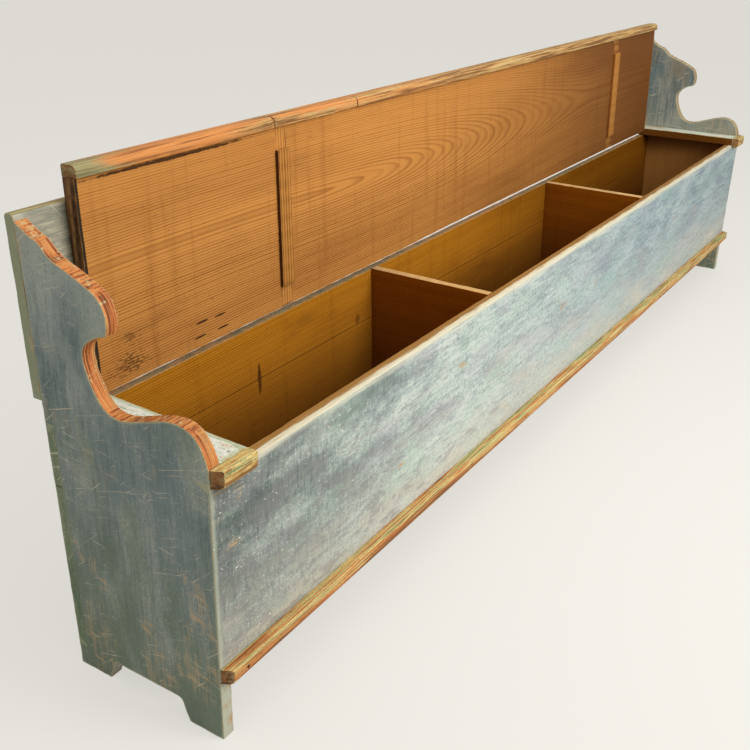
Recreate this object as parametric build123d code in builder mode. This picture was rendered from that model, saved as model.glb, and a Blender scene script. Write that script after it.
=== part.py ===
from build123d import *
import os
from math import cos, radians, sin, tan

os.makedirs("parts", exist_ok=True)

# A long painted pine bench: a chest between two scrolled end boards, whose seat is a lid
# that stands open against the back. X runs along the bench, Y to the back and Z up.
# The origin is on the floor, at the middle of the bench's length and depth.
# All sizes are in millimetres, and "depth" is counted back from the front board's face.

# ---- End boards ----
bench_length = 2760.0
end_thickness = 24.0
foot_depth = 315.0  # front to back at the floor
end_height = 770.0
back_lean = 1.79  # degrees by which the rear edges lean back
arm_height = 480.0  # where the arm's front curve starts
front_foot_width = 70.0
rear_foot_width = 70.0
arch_height = 40.0
arch_side = 23.0  # depth of the ogee at each side of the arch
# Points of the end boards' outline, as depth and height: the falling shoulder down to the
# hook of the scroll, and the hollow under it out to the arm's rounded front.
shoulder = [(308, 752), (296, 748), (281, 734), (243, 716), (206, 700.5), (183, 686), (172.5, 660), (177, 633)]
hollow = [(177, 633), (204, 623), (226, 599), (223, 570), (206, 533), (188, 515)]
hollow += [(165, 510), (130, 518), (90, 531), (50, 537), (23, 526), (7, 502)]

# ---- Front board and base moulding ----
front_thickness = 25.0
front_bottom = 112.0
seat_bottom = 460.0  # top of the front board, underside of the seat
moulding_depth = 20.0
moulding_height = 28.0
moulding_round = 10.0
moulding_arris = 3.0

# ---- Back boards ----
back_thickness = 20.0
back_bottom = 40.0
back_joint = 347.5  # height of the joint between the two lower boards
back_joint_gap = 1.0
swing_room = 3.0  # drop of the middle board's top, for the lid's rear corner
upper_thickness = 19.0
upper_bottom = 493.0
upper_top = 780.0
upper_round = 6.0

# ---- Fixed seat ends and their nosing blocks ----
seat_thickness = 23.0
seat_end_reach = 90.0  # from the bench's end to the seat end's inner edge, at the back
seat_end_front_reach = 82.0  # the same at the front
nosing_depth = 20.0
nosing_height = 32.0
nosing_rise = 1.0  # how far a nosing stands above the seat
nosing_round = 11.0
nosing_arris = 4.0
end_cut = 10.0  # how far the front strips' outer ends slant back toward their faces

# ---- Lid ----
lid_side_gap = 2.0
lid_front_gap = 1.0
lid_rest_gap = 0.2
lid_tail = 9.7  # how far the lid runs behind its hinge axis
nosing_joint_first = 461.0  # the nosing's two joints, from the lid's left end
nosing_joint_second = 728.0
nosing_joint_gap = 0.6
batten_left_inset = 484.5  # from the lid's left end to the left batten's middle
batten_right_inset = 363.0  # from the lid's right end to the right batten's middle
batten_left_width = 36.0
batten_right_width = 46.0
batten_taper = 4.0  # how much narrower a batten is at the lid's front edge than at its rear edge
batten_shoulder = 3.0  # how far the raised bar stands out over its root, each side
batten_root = 8.0  # depth of the dovetail slot
batten_flare = 2.0  # how much wider the slot is at its bottom, each side
batten_rise = 7.0
batten_rear_end = 40.0  # from the lid's rear edge to the raised bar
batten_front_end = 41.0  # from the raised bar to the lid's front edge

# ---- Chest ----
divider_thickness = 20.0
divider_left_inset = 896.0  # from the bench's left end to the left divider's middle
divider_right_inset = 926.0  # from the bench's right end to the right divider's middle
floor_top = 160.0
floor_thickness = 20.0
floor_joint_depth = 166.0
floor_joint_gap = 1.0
bearer_size = 25.0

# ---- Hinges ----
hinge_spacing = 860.0
hinge_length = 60.0
leaf_width = 45.0
leaf_thickness = 1.6
leaf_gap = 0.1  # from a leaf's face to the plane of the axis
knuckle_radius = 3.4
knuckle_clearance = 0.5
lid_knuckle_length = 23.0
pin_radius = 1.6
pin_running_clearance = 0.06
pin_seat_clearance = 0.02
screw_radius = 1.5
screw_head_radius = 3.1
screw_length = 14.0
screw_spacing = 20.0
screw_reach = 30.0  # from the hinge axis to the screws

# ---- Nails ----
nail_radius = 1.4
nail_head_radius = 3.0
nail_head_depth = 1.0
nail_length = 45.0
nosing_nail_length = 55.0
nail_margin = 42.0  # from a board's edge to its first nail

# ---- Derived places ----
lean = radians(back_lean)
half_length = bench_length / 2
seat_top = seat_bottom + seat_thickness
leaf_offset = leaf_thickness + leaf_gap
hinge_height = seat_top + lid_rest_gap + leaf_offset
hinge_depth = foot_depth + hinge_height * tan(lean) - leaf_offset / cos(lean)
open_angle = 90.0 + back_lean
upper_reach = (
    foot_depth
    + sin(lean) * (upper_top / cos(lean) - upper_round)
    + cos(lean) * (upper_thickness - upper_round)
    + upper_round
)
front_y = (max(nosing_depth, moulding_depth) - upper_reach) / 2


def side(x):
    """Plane across the bench at x, with depth as its first axis and height as its second."""
    return Plane(origin=(x, front_y, 0), x_dir=(0, 1, 0), z_dir=(1, 0, 0))


def inner_back(height):
    """Depth of the back boards' inner face at a height."""
    return foot_depth + height * tan(lean) - back_thickness / cos(lean)


def rear_edge(height):
    """Depth of the end boards' rear edge at a height."""
    return foot_depth + height * tan(lean)


def spread(low, high, count):
    """Evenly spaced values from low to high."""
    return [low + (high - low) * step / (count - 1) for step in range(count)]


def driven(points, outward):
    """Places for fasteners at surface points, each with its Z axis out of the wood."""
    return [Plane(origin=point, z_dir=outward).location for point in points]


def nails(places, length):
    """Add a nail at each place, with its head flush."""
    with Locations(*places):
        Cylinder(nail_radius, length, align=(Align.CENTER, Align.CENTER, Align.MAX))
        Cylinder(nail_head_radius, nail_head_depth, align=(Align.CENTER, Align.CENTER, Align.MAX))


def nail_holes(places, length):
    """Cut the hole of each nail from the piece being built."""
    with Locations(*places):
        CounterBoreHole(nail_radius, nail_head_radius, nail_head_depth, depth=length)


def end_wedge(hand, depth):
    """Corners of the wedge cut off a front strip's outer end, left (-1) or right (1)."""
    return [
        (hand * half_length, front_y),
        (hand * half_length, front_y - depth),
        (hand * (half_length - end_cut), front_y - depth),
    ]


# The back leans: up_back runs up the rear edges, and out_back stands square to them.
up_back = (0, sin(lean), cos(lean))
out_back = (0, cos(lean), -sin(lean))
back_section = Plane(origin=(0, front_y + foot_depth, 0), x_dir=up_back, z_dir=(1, 0, 0))

# The open lid: these planes hold it as it lies when closed, with the hinge axis at zero.
# lid_section has the lid's rear direction and its upward direction; lid_top looks down on it.
hinge_point = (0, front_y + hinge_depth, hinge_height)
lid_rear_dir = (0, -sin(lean), -cos(lean))
lid_section = Plane(origin=hinge_point, x_dir=lid_rear_dir, z_dir=(1, 0, 0))
lid_top = Plane(origin=hinge_point, x_dir=(1, 0, 0), z_dir=out_back)
lid_under = lid_top.offset(-leaf_offset - seat_thickness)
lid_half = half_length - seat_end_reach - lid_side_gap
batten_left = batten_left_inset - lid_half
batten_right = lid_half - batten_right_inset
nosing_joint_left = nosing_joint_first - lid_half
nosing_joint_right = nosing_joint_second - lid_half
lid_front = hinge_depth + lid_front_gap
lid_nosing_top = -leaf_offset - lid_rest_gap + nosing_rise


def on_back(x, height, behind):
    """Point at a height up the rear edges' line, and so far behind it."""
    run = height / cos(lean)
    y = front_y + foot_depth + run * sin(lean) + behind * cos(lean)
    return (x, y, run * cos(lean) - behind * sin(lean))


def on_lid(x, rear, rise):
    """Point on the open lid, from its place behind and above the hinge axis when closed."""
    y = hinge_point[1] - rear * sin(lean) + rise * cos(lean)
    return (x, y, hinge_point[2] - rear * cos(lean) - rise * sin(lean))


# ---- Fastener places ----
end_xs = [-half_length + end_thickness / 2, half_length - end_thickness / 2]
divider_left_x = divider_left_inset - half_length
divider_right_x = half_length - divider_right_inset
divider_xs = [divider_left_x, divider_right_x]
front_heights = spread(front_bottom + moulding_height + nail_margin, seat_bottom - nail_margin, 4)
divider_heights = spread(floor_top + nail_margin, seat_bottom - nail_margin, 3)
front_nail_places = driven([(x, front_y, z) for x in end_xs for z in front_heights], (0, -1, 0))
divider_front_places = driven([(x, front_y, z) for x in divider_xs for z in divider_heights], (0, -1, 0))
moulding_xs = spread(-half_length + nail_margin, half_length - nail_margin, 12)
moulding_nail_z = front_bottom + moulding_height / 2
moulding_nail_length = moulding_depth + 0.8 * front_thickness
moulding_nail_places = driven(
    [(x, front_y - moulding_depth, moulding_nail_z) for x in moulding_xs], (0, -1, 0)
)
lower_heights = spread(back_bottom + nail_margin, back_joint - nail_margin, 3)
middle_top = seat_bottom - swing_room
middle_heights = spread(back_joint + nail_margin / 2, middle_top - nail_margin / 2, 2)
upper_heights = spread(upper_bottom + nail_margin, upper_top - nail_margin, 3)
back_nail_places = driven(
    [on_back(x, z, 0) for x in end_xs for z in lower_heights + middle_heights]
    + [on_back(x, z, 0) for x in divider_xs for z in lower_heights[1:] + middle_heights],
    out_back,
)
upper_nail_places = driven([on_back(x, z, upper_thickness) for x in end_xs for z in upper_heights], out_back)
seat_end_middle = half_length - (end_thickness + seat_end_reach) / 2
seat_down_places = driven(
    [(x, front_y + front_thickness / 2, seat_top) for x in (-seat_end_middle, seat_end_middle)], (0, 0, 1)
)
seat_side_depths = spread(3 * nail_margin, foot_depth - nail_margin, 3)
seat_side_left = driven(
    [(-half_length, front_y + depth, seat_bottom + seat_thickness / 2) for depth in seat_side_depths], (-1, 0, 0)
)
seat_side_right = driven(
    [(half_length, front_y + depth, seat_bottom + seat_thickness / 2) for depth in seat_side_depths], (1, 0, 0)
)
seat_end_places = seat_down_places + seat_side_left + seat_side_right
block_inset = (half_length - 0.75 * end_thickness, half_length - seat_end_front_reach + nail_margin / 2)
block_nail_places = driven(
    [
        (sign * x, front_y - nosing_depth, seat_bottom + seat_thickness / 2)
        for sign in (-1, 1)
        for x in block_inset
    ],
    (0, -1, 0),
)
lid_nosing_xs = (
    spread(-lid_half + nail_margin, nosing_joint_left - nail_margin, 3)
    + spread(nosing_joint_left + nail_margin, nosing_joint_right - nail_margin, 2)
    + spread(nosing_joint_right + nail_margin, lid_half - nail_margin, 8)
)
lid_nail_places = driven(
    [on_lid(x, -lid_front - nosing_depth, -leaf_offset - seat_thickness / 2) for x in lid_nosing_xs],
    (0, sin(lean), cos(lean)),
)
bearer_middle = floor_top - floor_thickness - bearer_size / 2
bearer_xs = spread(-half_length + end_thickness + nail_margin, half_length - end_thickness - nail_margin, 9)
floor_xs = spread(
    -half_length + end_thickness + 2 * nail_margin, half_length - end_thickness - 2 * nail_margin, 10
)
rear_bearer_depth = inner_back(bearer_middle) - bearer_size
front_bearer_places = driven(
    [(x, front_y + front_thickness + bearer_size, bearer_middle) for x in bearer_xs], (0, 1, 0)
)
rear_bearer_places = driven([(x, front_y + rear_bearer_depth, bearer_middle) for x in bearer_xs], (0, -1, 0))
bearer_nail_length = bearer_size + 0.55 * back_thickness
floor_rows = (front_thickness + bearer_size / 2, rear_bearer_depth + bearer_size / 2)
floor_nail_places = driven([(x, front_y + row, floor_top) for row in floor_rows for x in floor_xs], (0, 0, 1))
floor_nail_length = floor_thickness + 0.7 * bearer_size
hinge_xs = [-hinge_spacing, 0.0, hinge_spacing]
screw_xs = [x + offset for x in hinge_xs for offset in (-screw_spacing, 0.0, screw_spacing)]
back_screw_places = driven(
    [on_back(x, hinge_height + screw_reach, -leaf_thickness) for x in screw_xs],
    (0, -cos(lean), sin(lean)),
)
lid_screw_places = driven([on_lid(x, -screw_reach, -leaf_gap) for x in screw_xs], out_back)


def screw_holes():
    """Cut a countersunk screw hole at each current location."""
    CounterSinkHole(screw_radius, screw_head_radius, depth=screw_length)


def screws():
    """Add a countersunk screw at each current location."""
    head_depth = (screw_head_radius - screw_radius) / tan(radians(41))
    Cone(
        screw_radius, screw_head_radius, head_depth, align=(Align.CENTER, Align.CENTER, Align.MAX)
    )
    Cylinder(screw_radius, screw_length, align=(Align.CENTER, Align.CENTER, Align.MAX))


# ---- End boards ----
# One face drawn flat: feet and arch below, raked rear edge, a falling shoulder, the hooked
# scroll, the deep hollow of the arm, and the arm's rounded front.
with BuildSketch() as end_face:
    with BuildLine():
        arch_front = front_foot_width + arch_side
        arch_rear = foot_depth - rear_foot_width - arch_side
        Line((0, 0), (front_foot_width, 0))
        Spline(
            (front_foot_width, 0),
            (front_foot_width + 0.45 * arch_side, 0.62 * arch_height),
            (arch_front, arch_height),
            tangents=[(0.25, 1), (1, 0)],
        )
        Line((arch_front, arch_height), (arch_rear, arch_height))
        Spline(
            (arch_rear, arch_height),
            (foot_depth - rear_foot_width - 0.45 * arch_side, 0.62 * arch_height),
            (foot_depth - rear_foot_width, 0),
            tangents=[(1, 0), (0.25, -1)],
        )
        Line((foot_depth - rear_foot_width, 0), (foot_depth, 0))
        Line((foot_depth, 0), (rear_edge(end_height), end_height))
        Line((rear_edge(end_height), end_height), shoulder[0])
        Spline(*shoulder)
        Spline(*hollow, (0, arm_height))
        Line((0, arm_height), (0, 0))
    make_face()


def end_board(x):
    """One end board from x, with its notches for the front and back boards."""
    with BuildPart() as board:
        with BuildSketch(side(x)):
            add(end_face.sketch)
        extrude(amount=end_thickness)
        with BuildSketch(side(x)):
            with Locations((0, front_bottom)):
                Rectangle(front_thickness, seat_bottom - front_bottom, align=(Align.MIN, Align.MIN))
        extrude(amount=end_thickness, mode=Mode.SUBTRACT)
        with BuildSketch(back_section.offset(x)):
            with Locations((back_bottom / cos(lean), 0)):
                Rectangle((middle_top - back_bottom) / cos(lean), back_thickness, align=(Align.MIN, Align.MIN))
        extrude(amount=end_thickness, mode=Mode.SUBTRACT)
        nail_holes(front_nail_places, nail_length)
        nail_holes(back_nail_places, nail_length)
        nail_holes(upper_nail_places, nail_length)
        nail_holes(seat_end_places, nail_length)
        nail_holes(block_nail_places, nosing_nail_length)
    return board


end_board_left = end_board(-half_length)
end_board_right = end_board(half_length - end_thickness)

# ---- Front board and base moulding ----
with BuildPart() as front_board:
    with BuildSketch(side(0)):
        with Locations((0, front_bottom)):
            Rectangle(front_thickness, seat_bottom - front_bottom, align=(Align.MIN, Align.MIN))
    extrude(amount=half_length, both=True)
    nail_holes(front_nail_places, nail_length)
    nail_holes(divider_front_places, nail_length)
    nail_holes(moulding_nail_places, moulding_nail_length)
    nail_holes(seat_end_places, nail_length)
    nail_holes(front_bearer_places, bearer_nail_length)

with BuildPart() as base_moulding:
    with BuildSketch(side(0)):
        with BuildLine():
            FilletPolyline(
                (0, front_bottom),
                (-moulding_depth, front_bottom),
                (-moulding_depth, front_bottom + moulding_height),
                (0, front_bottom + moulding_height),
                radius=[moulding_round, moulding_arris],
            )
            Line((0, front_bottom + moulding_height), (0, front_bottom))
        make_face()
    extrude(amount=half_length, both=True)
    for hand in (-1, 1):
        with BuildSketch(Plane.XY.offset(front_bottom)):
            Polygon(*end_wedge(hand, moulding_depth))
        extrude(amount=moulding_height, mode=Mode.SUBTRACT)
    nail_holes(moulding_nail_places, moulding_nail_length)


# ---- Back boards ----
def back_board(bottom, top):
    """One lower back board, let into the end boards' rear edges."""
    with BuildPart() as board:
        with BuildSketch(back_section):
            with Locations((bottom / cos(lean), 0)):
                Rectangle((top - bottom) / cos(lean), back_thickness, align=(Align.MIN, Align.MIN))
        extrude(amount=half_length, both=True)
        nail_holes(back_nail_places, nail_length)
        nail_holes(rear_bearer_places, bearer_nail_length)
    return board


back_lower_board = back_board(back_bottom, back_joint - back_joint_gap / 2)
back_middle_board = back_board(back_joint + back_joint_gap / 2, middle_top)

with BuildPart() as back_upper_board:
    with BuildSketch(back_section):
        with BuildLine():
            low = upper_bottom / cos(lean)
            high = upper_top / cos(lean)
            FilletPolyline((low, 0), (high, 0), (high, -upper_thickness), (low, -upper_thickness), radius=upper_round)
            Line((low, -upper_thickness), (low, 0))
        make_face()
    extrude(amount=half_length, both=True)
    nail_holes(upper_nail_places, nail_length)
    with Locations(*back_screw_places):
        screw_holes()


# ---- Fixed seat ends ----
def seat_end(hand):
    """One fixed seat end, left (-1) or right (1), narrowing a little toward the front."""
    inner = half_length - seat_end_reach
    outer = half_length - end_thickness
    with BuildPart() as board:
        with BuildSketch(side(min(hand * inner, hand * outer))):
            Polygon(
                (0, seat_bottom),
                (rear_edge(seat_bottom), seat_bottom),
                (rear_edge(seat_top), seat_top),
                (0, seat_top),
            )
        extrude(amount=seat_end_reach - end_thickness)
        with BuildSketch(Plane.XY.offset(seat_bottom)):
            Polygon(
                (hand * inner, front_y),
                (hand * (half_length - seat_end_front_reach), front_y),
                (hand * inner, front_y + rear_edge(seat_top)),
            )
        extrude(amount=seat_thickness, mode=Mode.SUBTRACT)
        nail_holes(seat_end_places, nail_length)
        nail_holes(block_nail_places, nosing_nail_length)
    return board


seat_end_left = seat_end(-1)
seat_end_right = seat_end(1)


def nosing_strip(section, top, back, start, stop, places, hand=0):
    """A nosing from start to stop, its top and back given in a section plane's own axes.

    A hand of -1 or 1 slants the outer end of a fixed block at the left or right.
    """
    with BuildPart() as strip:
        with BuildSketch(section.offset(start)):
            with BuildLine():
                front = back - nosing_depth
                bottom = top - nosing_height
                FilletPolyline(
                    (back, bottom),
                    (front, bottom),
                    (front, top),
                    (back, top),
                    radius=[nosing_round, nosing_arris],
                )
                Line((back, top), (back, bottom))
            make_face()
        extrude(amount=stop - start)
        if hand:
            with BuildSketch(Plane.XY.offset(top - nosing_height)):
                Polygon(*end_wedge(hand, nosing_depth))
            extrude(amount=nosing_height, mode=Mode.SUBTRACT)
        nail_holes(places, nosing_nail_length)
    return strip


# The fixed blocks lap down over the front board's face.
block_top = seat_top + nosing_rise
seat_end_nosing_left = nosing_strip(
    side(0), block_top, 0, -half_length, seat_end_front_reach - half_length, block_nail_places, -1
)
seat_end_nosing_right = nosing_strip(
    side(0), block_top, 0, half_length - seat_end_front_reach, half_length, block_nail_places, 1
)


# ---- Lid ----
lid_depth = lid_tail + lid_front


def batten_corners(x, width, start, stop, widen):
    """Corners of a batten's plan, between two distances from the lid's rear edge."""
    near = (width + batten_taper * (0.5 - start / lid_depth)) / 2 + widen
    far = (width + batten_taper * (0.5 - stop / lid_depth)) / 2 + widen
    return [
        (x - near, lid_tail - start),
        (x + near, lid_tail - start),
        (x + far, lid_tail - stop),
        (x - far, lid_tail - stop),
    ]


with BuildPart() as lid_board:
    with BuildSketch(lid_section):
        with Locations((lid_tail, -leaf_offset)):
            Rectangle(lid_tail + lid_front, seat_thickness, align=(Align.MAX, Align.MAX))
    extrude(amount=lid_half, both=True)
    relief = knuckle_radius + knuckle_clearance
    for x in hinge_xs:
        with BuildSketch(lid_section.offset(x)):
            with Locations((-relief, -relief)):
                Rectangle(relief + lid_tail, relief, align=(Align.MIN, Align.MIN))
        extrude(amount=hinge_length / 2 + 2 * knuckle_clearance, both=True, mode=Mode.SUBTRACT)
    for x, width in ((batten_left, batten_left_width), (batten_right, batten_right_width)):
        with BuildSketch(lid_under):
            Polygon(*batten_corners(x, width, 0, lid_depth, -batten_shoulder))
        with BuildSketch(lid_under.offset(batten_root)):
            Polygon(*batten_corners(x, width, 0, lid_depth, batten_flare - batten_shoulder))
        loft(mode=Mode.SUBTRACT)
    nail_holes(lid_nail_places, nosing_nail_length)
    with Locations(*lid_screw_places):
        screw_holes()


def lid_batten(x, width):
    """One batten: its tapered dovetail root, and the raised bar between its two ends."""
    with BuildPart() as batten:
        with BuildSketch(lid_under):
            Polygon(*batten_corners(x, width, 0, lid_depth, -batten_shoulder))
        with BuildSketch(lid_under.offset(batten_root)):
            Polygon(*batten_corners(x, width, 0, lid_depth, batten_flare - batten_shoulder))
        loft()
        with BuildSketch(lid_under):
            Polygon(*batten_corners(x, width, batten_rear_end, lid_depth - batten_front_end, 0))
        extrude(amount=-batten_rise)
    return batten


lid_batten_left = lid_batten(batten_left, batten_left_width)
lid_batten_right = lid_batten(batten_right, batten_right_width)

# The lid's nosing is in three lengths, and hangs over the front board when closed.
left_break = (nosing_joint_left - nosing_joint_gap / 2, nosing_joint_left + nosing_joint_gap / 2)
right_break = (nosing_joint_right - nosing_joint_gap / 2, nosing_joint_right + nosing_joint_gap / 2)
lid_nosing_left = nosing_strip(
    lid_section, lid_nosing_top, -lid_front, -lid_half, left_break[0], lid_nail_places
)
lid_nosing_middle = nosing_strip(
    lid_section, lid_nosing_top, -lid_front, left_break[1], right_break[0], lid_nail_places
)
lid_nosing_right = nosing_strip(
    lid_section, lid_nosing_top, -lid_front, right_break[1], lid_half, lid_nail_places
)


# ---- Chest inside ----
def divider(x):
    """One divider around x, fitted between the front board and the leaning back."""
    with BuildPart() as board:
        with BuildSketch(side(x)):
            Polygon(
                (front_thickness, floor_top),
                (inner_back(floor_top), floor_top),
                (inner_back(seat_bottom), seat_bottom),
                (front_thickness, seat_bottom),
            )
        extrude(amount=divider_thickness / 2, both=True)
        nail_holes(divider_front_places, nail_length)
        nail_holes(back_nail_places, nail_length)
    return board


divider_left = divider(divider_left_x)
divider_right = divider(divider_right_x)

chest_half = half_length - end_thickness
floor_bottom = floor_top - floor_thickness

with BuildPart() as floor_board_front:
    with BuildSketch(side(0)):
        with Locations((front_thickness, floor_bottom)):
            Rectangle(floor_joint_depth - front_thickness, floor_thickness, align=(Align.MIN, Align.MIN))
    extrude(amount=chest_half, both=True)
    nail_holes(floor_nail_places, floor_nail_length)

with BuildPart() as floor_board_rear:
    with BuildSketch(side(0)):
        Polygon(
            (floor_joint_depth + floor_joint_gap, floor_bottom),
            (inner_back(floor_bottom), floor_bottom),
            (inner_back(floor_top), floor_top),
            (floor_joint_depth + floor_joint_gap, floor_top),
        )
    extrude(amount=chest_half, both=True)
    nail_holes(floor_nail_places, floor_nail_length)

with BuildPart() as floor_bearer_front:
    with BuildSketch(side(0)):
        with Locations((front_thickness, floor_bottom)):
            Rectangle(bearer_size, bearer_size, align=(Align.MIN, Align.MAX))
    extrude(amount=chest_half, both=True)
    nail_holes(front_bearer_places, bearer_nail_length)
    nail_holes(floor_nail_places, floor_nail_length)

with BuildPart() as floor_bearer_rear:
    with BuildSketch(side(0)):
        Polygon(
            (rear_bearer_depth, floor_bottom - bearer_size),
            (inner_back(floor_bottom - bearer_size), floor_bottom - bearer_size),
            (inner_back(floor_bottom), floor_bottom),
            (rear_bearer_depth, floor_bottom),
        )
    extrude(amount=chest_half, both=True)
    nail_holes(rear_bearer_places, bearer_nail_length)
    nail_holes(floor_nail_places, floor_nail_length)

# ---- Hinges ----
# Surface butt hinges. One leaf lies on the upper back board's face, the other on the lid's
# top, and with the lid open the two lie folded together.
outer_knuckle = (hinge_length - lid_knuckle_length) / 2
outer_shift = lid_knuckle_length / 2 + outer_knuckle / 2
hinge_rise = hinge_height / cos(lean) - leaf_offset * tan(lean)

with BuildPart() as hinge_leaves_back:
    for x in hinge_xs:
        with BuildSketch(back_section.offset(x)):
            with Locations((hinge_rise + relief, 0)):
                Rectangle(leaf_width - relief, leaf_thickness, align=(Align.MIN, Align.MIN))
        extrude(amount=hinge_length / 2, both=True)
        for knuckle_x in (x - outer_shift, x + outer_shift):
            with BuildSketch(back_section.offset(knuckle_x)):
                with Locations((hinge_rise, 0)):
                    Rectangle(relief, leaf_thickness, align=(Align.MIN, Align.MIN))
                with Locations((hinge_rise, leaf_offset)):
                    Circle(knuckle_radius)
                    Circle(pin_radius + pin_seat_clearance, mode=Mode.SUBTRACT)
            extrude(amount=outer_knuckle / 2, both=True)
    with Locations(*back_screw_places):
        screw_holes()

with BuildPart() as hinge_leaves_lid:
    for x in hinge_xs:
        with BuildSketch(lid_section.offset(x)):
            with Locations((-relief, -leaf_gap)):
                Rectangle(leaf_width - relief, leaf_thickness, align=(Align.MAX, Align.MAX))
        extrude(amount=hinge_length / 2, both=True)
        with BuildSketch(lid_section.offset(x)):
            with Locations((0, -leaf_gap)):
                Rectangle(relief, leaf_thickness, align=(Align.MAX, Align.MAX))
            Circle(knuckle_radius)
            Circle(pin_radius + pin_running_clearance, mode=Mode.SUBTRACT)
        extrude(amount=lid_knuckle_length / 2 - knuckle_clearance, both=True)
    with Locations(*lid_screw_places):
        screw_holes()

with BuildPart() as hinge_pins:
    for x in hinge_xs:
        with BuildSketch(lid_section.offset(x)):
            Circle(pin_radius)
        extrude(amount=hinge_length / 2, both=True)

with BuildPart() as hinge_screws_back:
    with Locations(*back_screw_places):
        screws()

with BuildPart() as hinge_screws_lid:
    with Locations(*lid_screw_places):
        screws()

# ---- Nails ----
with BuildPart() as front_board_nails:
    nails(front_nail_places, nail_length)

with BuildPart() as divider_nails:
    nails(divider_front_places, nail_length)

with BuildPart() as moulding_nails:
    nails(moulding_nail_places, moulding_nail_length)

with BuildPart() as back_board_nails:
    nails(back_nail_places + upper_nail_places, nail_length)

with BuildPart() as seat_end_nails:
    nails(seat_end_places, nail_length)

with BuildPart() as nosing_block_nails:
    nails(block_nail_places, nosing_nail_length)

with BuildPart() as lid_nosing_nails:
    nails(lid_nail_places, nosing_nail_length)

with BuildPart() as bearer_nails:
    nails(front_bearer_places + rear_bearer_places, bearer_nail_length)

with BuildPart() as floor_nails:
    nails(floor_nail_places, floor_nail_length)

# ---- Export ----
nodes = {
    "end_board_left": end_board_left,
    "end_board_right": end_board_right,
    "front_board": front_board,
    "base_moulding": base_moulding,
    "back_lower_board": back_lower_board,
    "back_middle_board": back_middle_board,
    "back_upper_board": back_upper_board,
    "seat_end_left": seat_end_left,
    "seat_end_right": seat_end_right,
    "seat_end_nosing_left": seat_end_nosing_left,
    "seat_end_nosing_right": seat_end_nosing_right,
    "lid_board": lid_board,
    "lid_batten_left": lid_batten_left,
    "lid_batten_right": lid_batten_right,
    "lid_nosing_left": lid_nosing_left,
    "lid_nosing_middle": lid_nosing_middle,
    "lid_nosing_right": lid_nosing_right,
    "divider_left": divider_left,
    "divider_right": divider_right,
    "floor_board_front": floor_board_front,
    "floor_board_rear": floor_board_rear,
    "floor_bearer_front": floor_bearer_front,
    "floor_bearer_rear": floor_bearer_rear,
    "hinge_leaves_back": hinge_leaves_back,
    "hinge_leaves_lid": hinge_leaves_lid,
    "hinge_pins": hinge_pins,
    "hinge_screws_back": hinge_screws_back,
    "hinge_screws_lid": hinge_screws_lid,
    "front_board_nails": front_board_nails,
    "divider_nails": divider_nails,
    "moulding_nails": moulding_nails,
    "back_board_nails": back_board_nails,
    "seat_end_nails": seat_end_nails,
    "nosing_block_nails": nosing_block_nails,
    "lid_nosing_nails": lid_nosing_nails,
    "bearer_nails": bearer_nails,
    "floor_nails": floor_nails,
}
for node, piece in nodes.items():
    piece.part.label = node
    export_step(piece.part, f"parts/{node}.step")

print("hinge axis", [round(value, 4) for value in hinge_point], "closes by", open_angle)
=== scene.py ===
"""Dresses a long painted pine bench: a divided chest between scrolled ends, with its lid open.

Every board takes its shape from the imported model. A board that shows gets a worn copy, whose
arrises are rubbed round and nicked, and every surface gets paint, bare pine or iron.
"""

from __future__ import annotations

import logging
import math
from collections.abc import Callable, Mapping, Sequence
from dataclasses import dataclass, replace
from enum import Enum
from functools import cache

import bmesh
import bpy
from mathutils import Matrix, Vector, kdtree, noise


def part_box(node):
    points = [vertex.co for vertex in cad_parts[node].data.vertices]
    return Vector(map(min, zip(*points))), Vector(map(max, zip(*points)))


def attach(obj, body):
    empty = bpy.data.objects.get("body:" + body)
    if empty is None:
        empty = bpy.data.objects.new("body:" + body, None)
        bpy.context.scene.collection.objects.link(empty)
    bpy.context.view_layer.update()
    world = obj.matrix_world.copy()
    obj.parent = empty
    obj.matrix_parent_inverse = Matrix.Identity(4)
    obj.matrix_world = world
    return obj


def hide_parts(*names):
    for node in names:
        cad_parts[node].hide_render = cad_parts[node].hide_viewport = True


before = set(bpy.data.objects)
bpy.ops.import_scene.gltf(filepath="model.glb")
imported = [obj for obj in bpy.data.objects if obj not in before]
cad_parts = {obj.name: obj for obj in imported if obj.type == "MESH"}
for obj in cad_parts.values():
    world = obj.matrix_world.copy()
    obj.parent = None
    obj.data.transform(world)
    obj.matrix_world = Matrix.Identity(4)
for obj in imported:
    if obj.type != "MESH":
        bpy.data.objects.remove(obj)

LOG = logging.getLogger("bench")
# The camera's picture width in pixels, and its sensor's width.
FRAME_WIDTH_PX = 750.0
SENSOR_MM = 36.0
# Half the bench's length, its back's lean, and the depth of its rear edge at the floor.
HALF_LENGTH = 1.38
BACK_LEAN = math.radians(1.79)
REAR_FOOT = 0.14591
# A distance that stands for no arris near, and how near a place still counts as on a face.
FAR_FROM_ARRIS = 0.1
SLACK = 0.001
# Points that are merged, faces that are one, edges that are arrises, and a moulding's sharp edges.
MERGE_DISTANCE = 1e-6
FLAT_ANGLE = math.radians(1.0)
ARRIS_ANGLE = math.radians(32.0)
MOULDED_ANGLE = math.radians(38.0)
BLACK = (0.0, 0.0, 0.0)

Pair = tuple[float, float]
Three = tuple[float, float, float]
Colour = Three
Stops = tuple[tuple[float, Colour], ...]
Socket = bpy.types.NodeSocket
Tree = bpy.types.NodeTree
Groups = Mapping[str, Tree]
Rule = Callable[[Vector, Vector], int]


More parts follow.
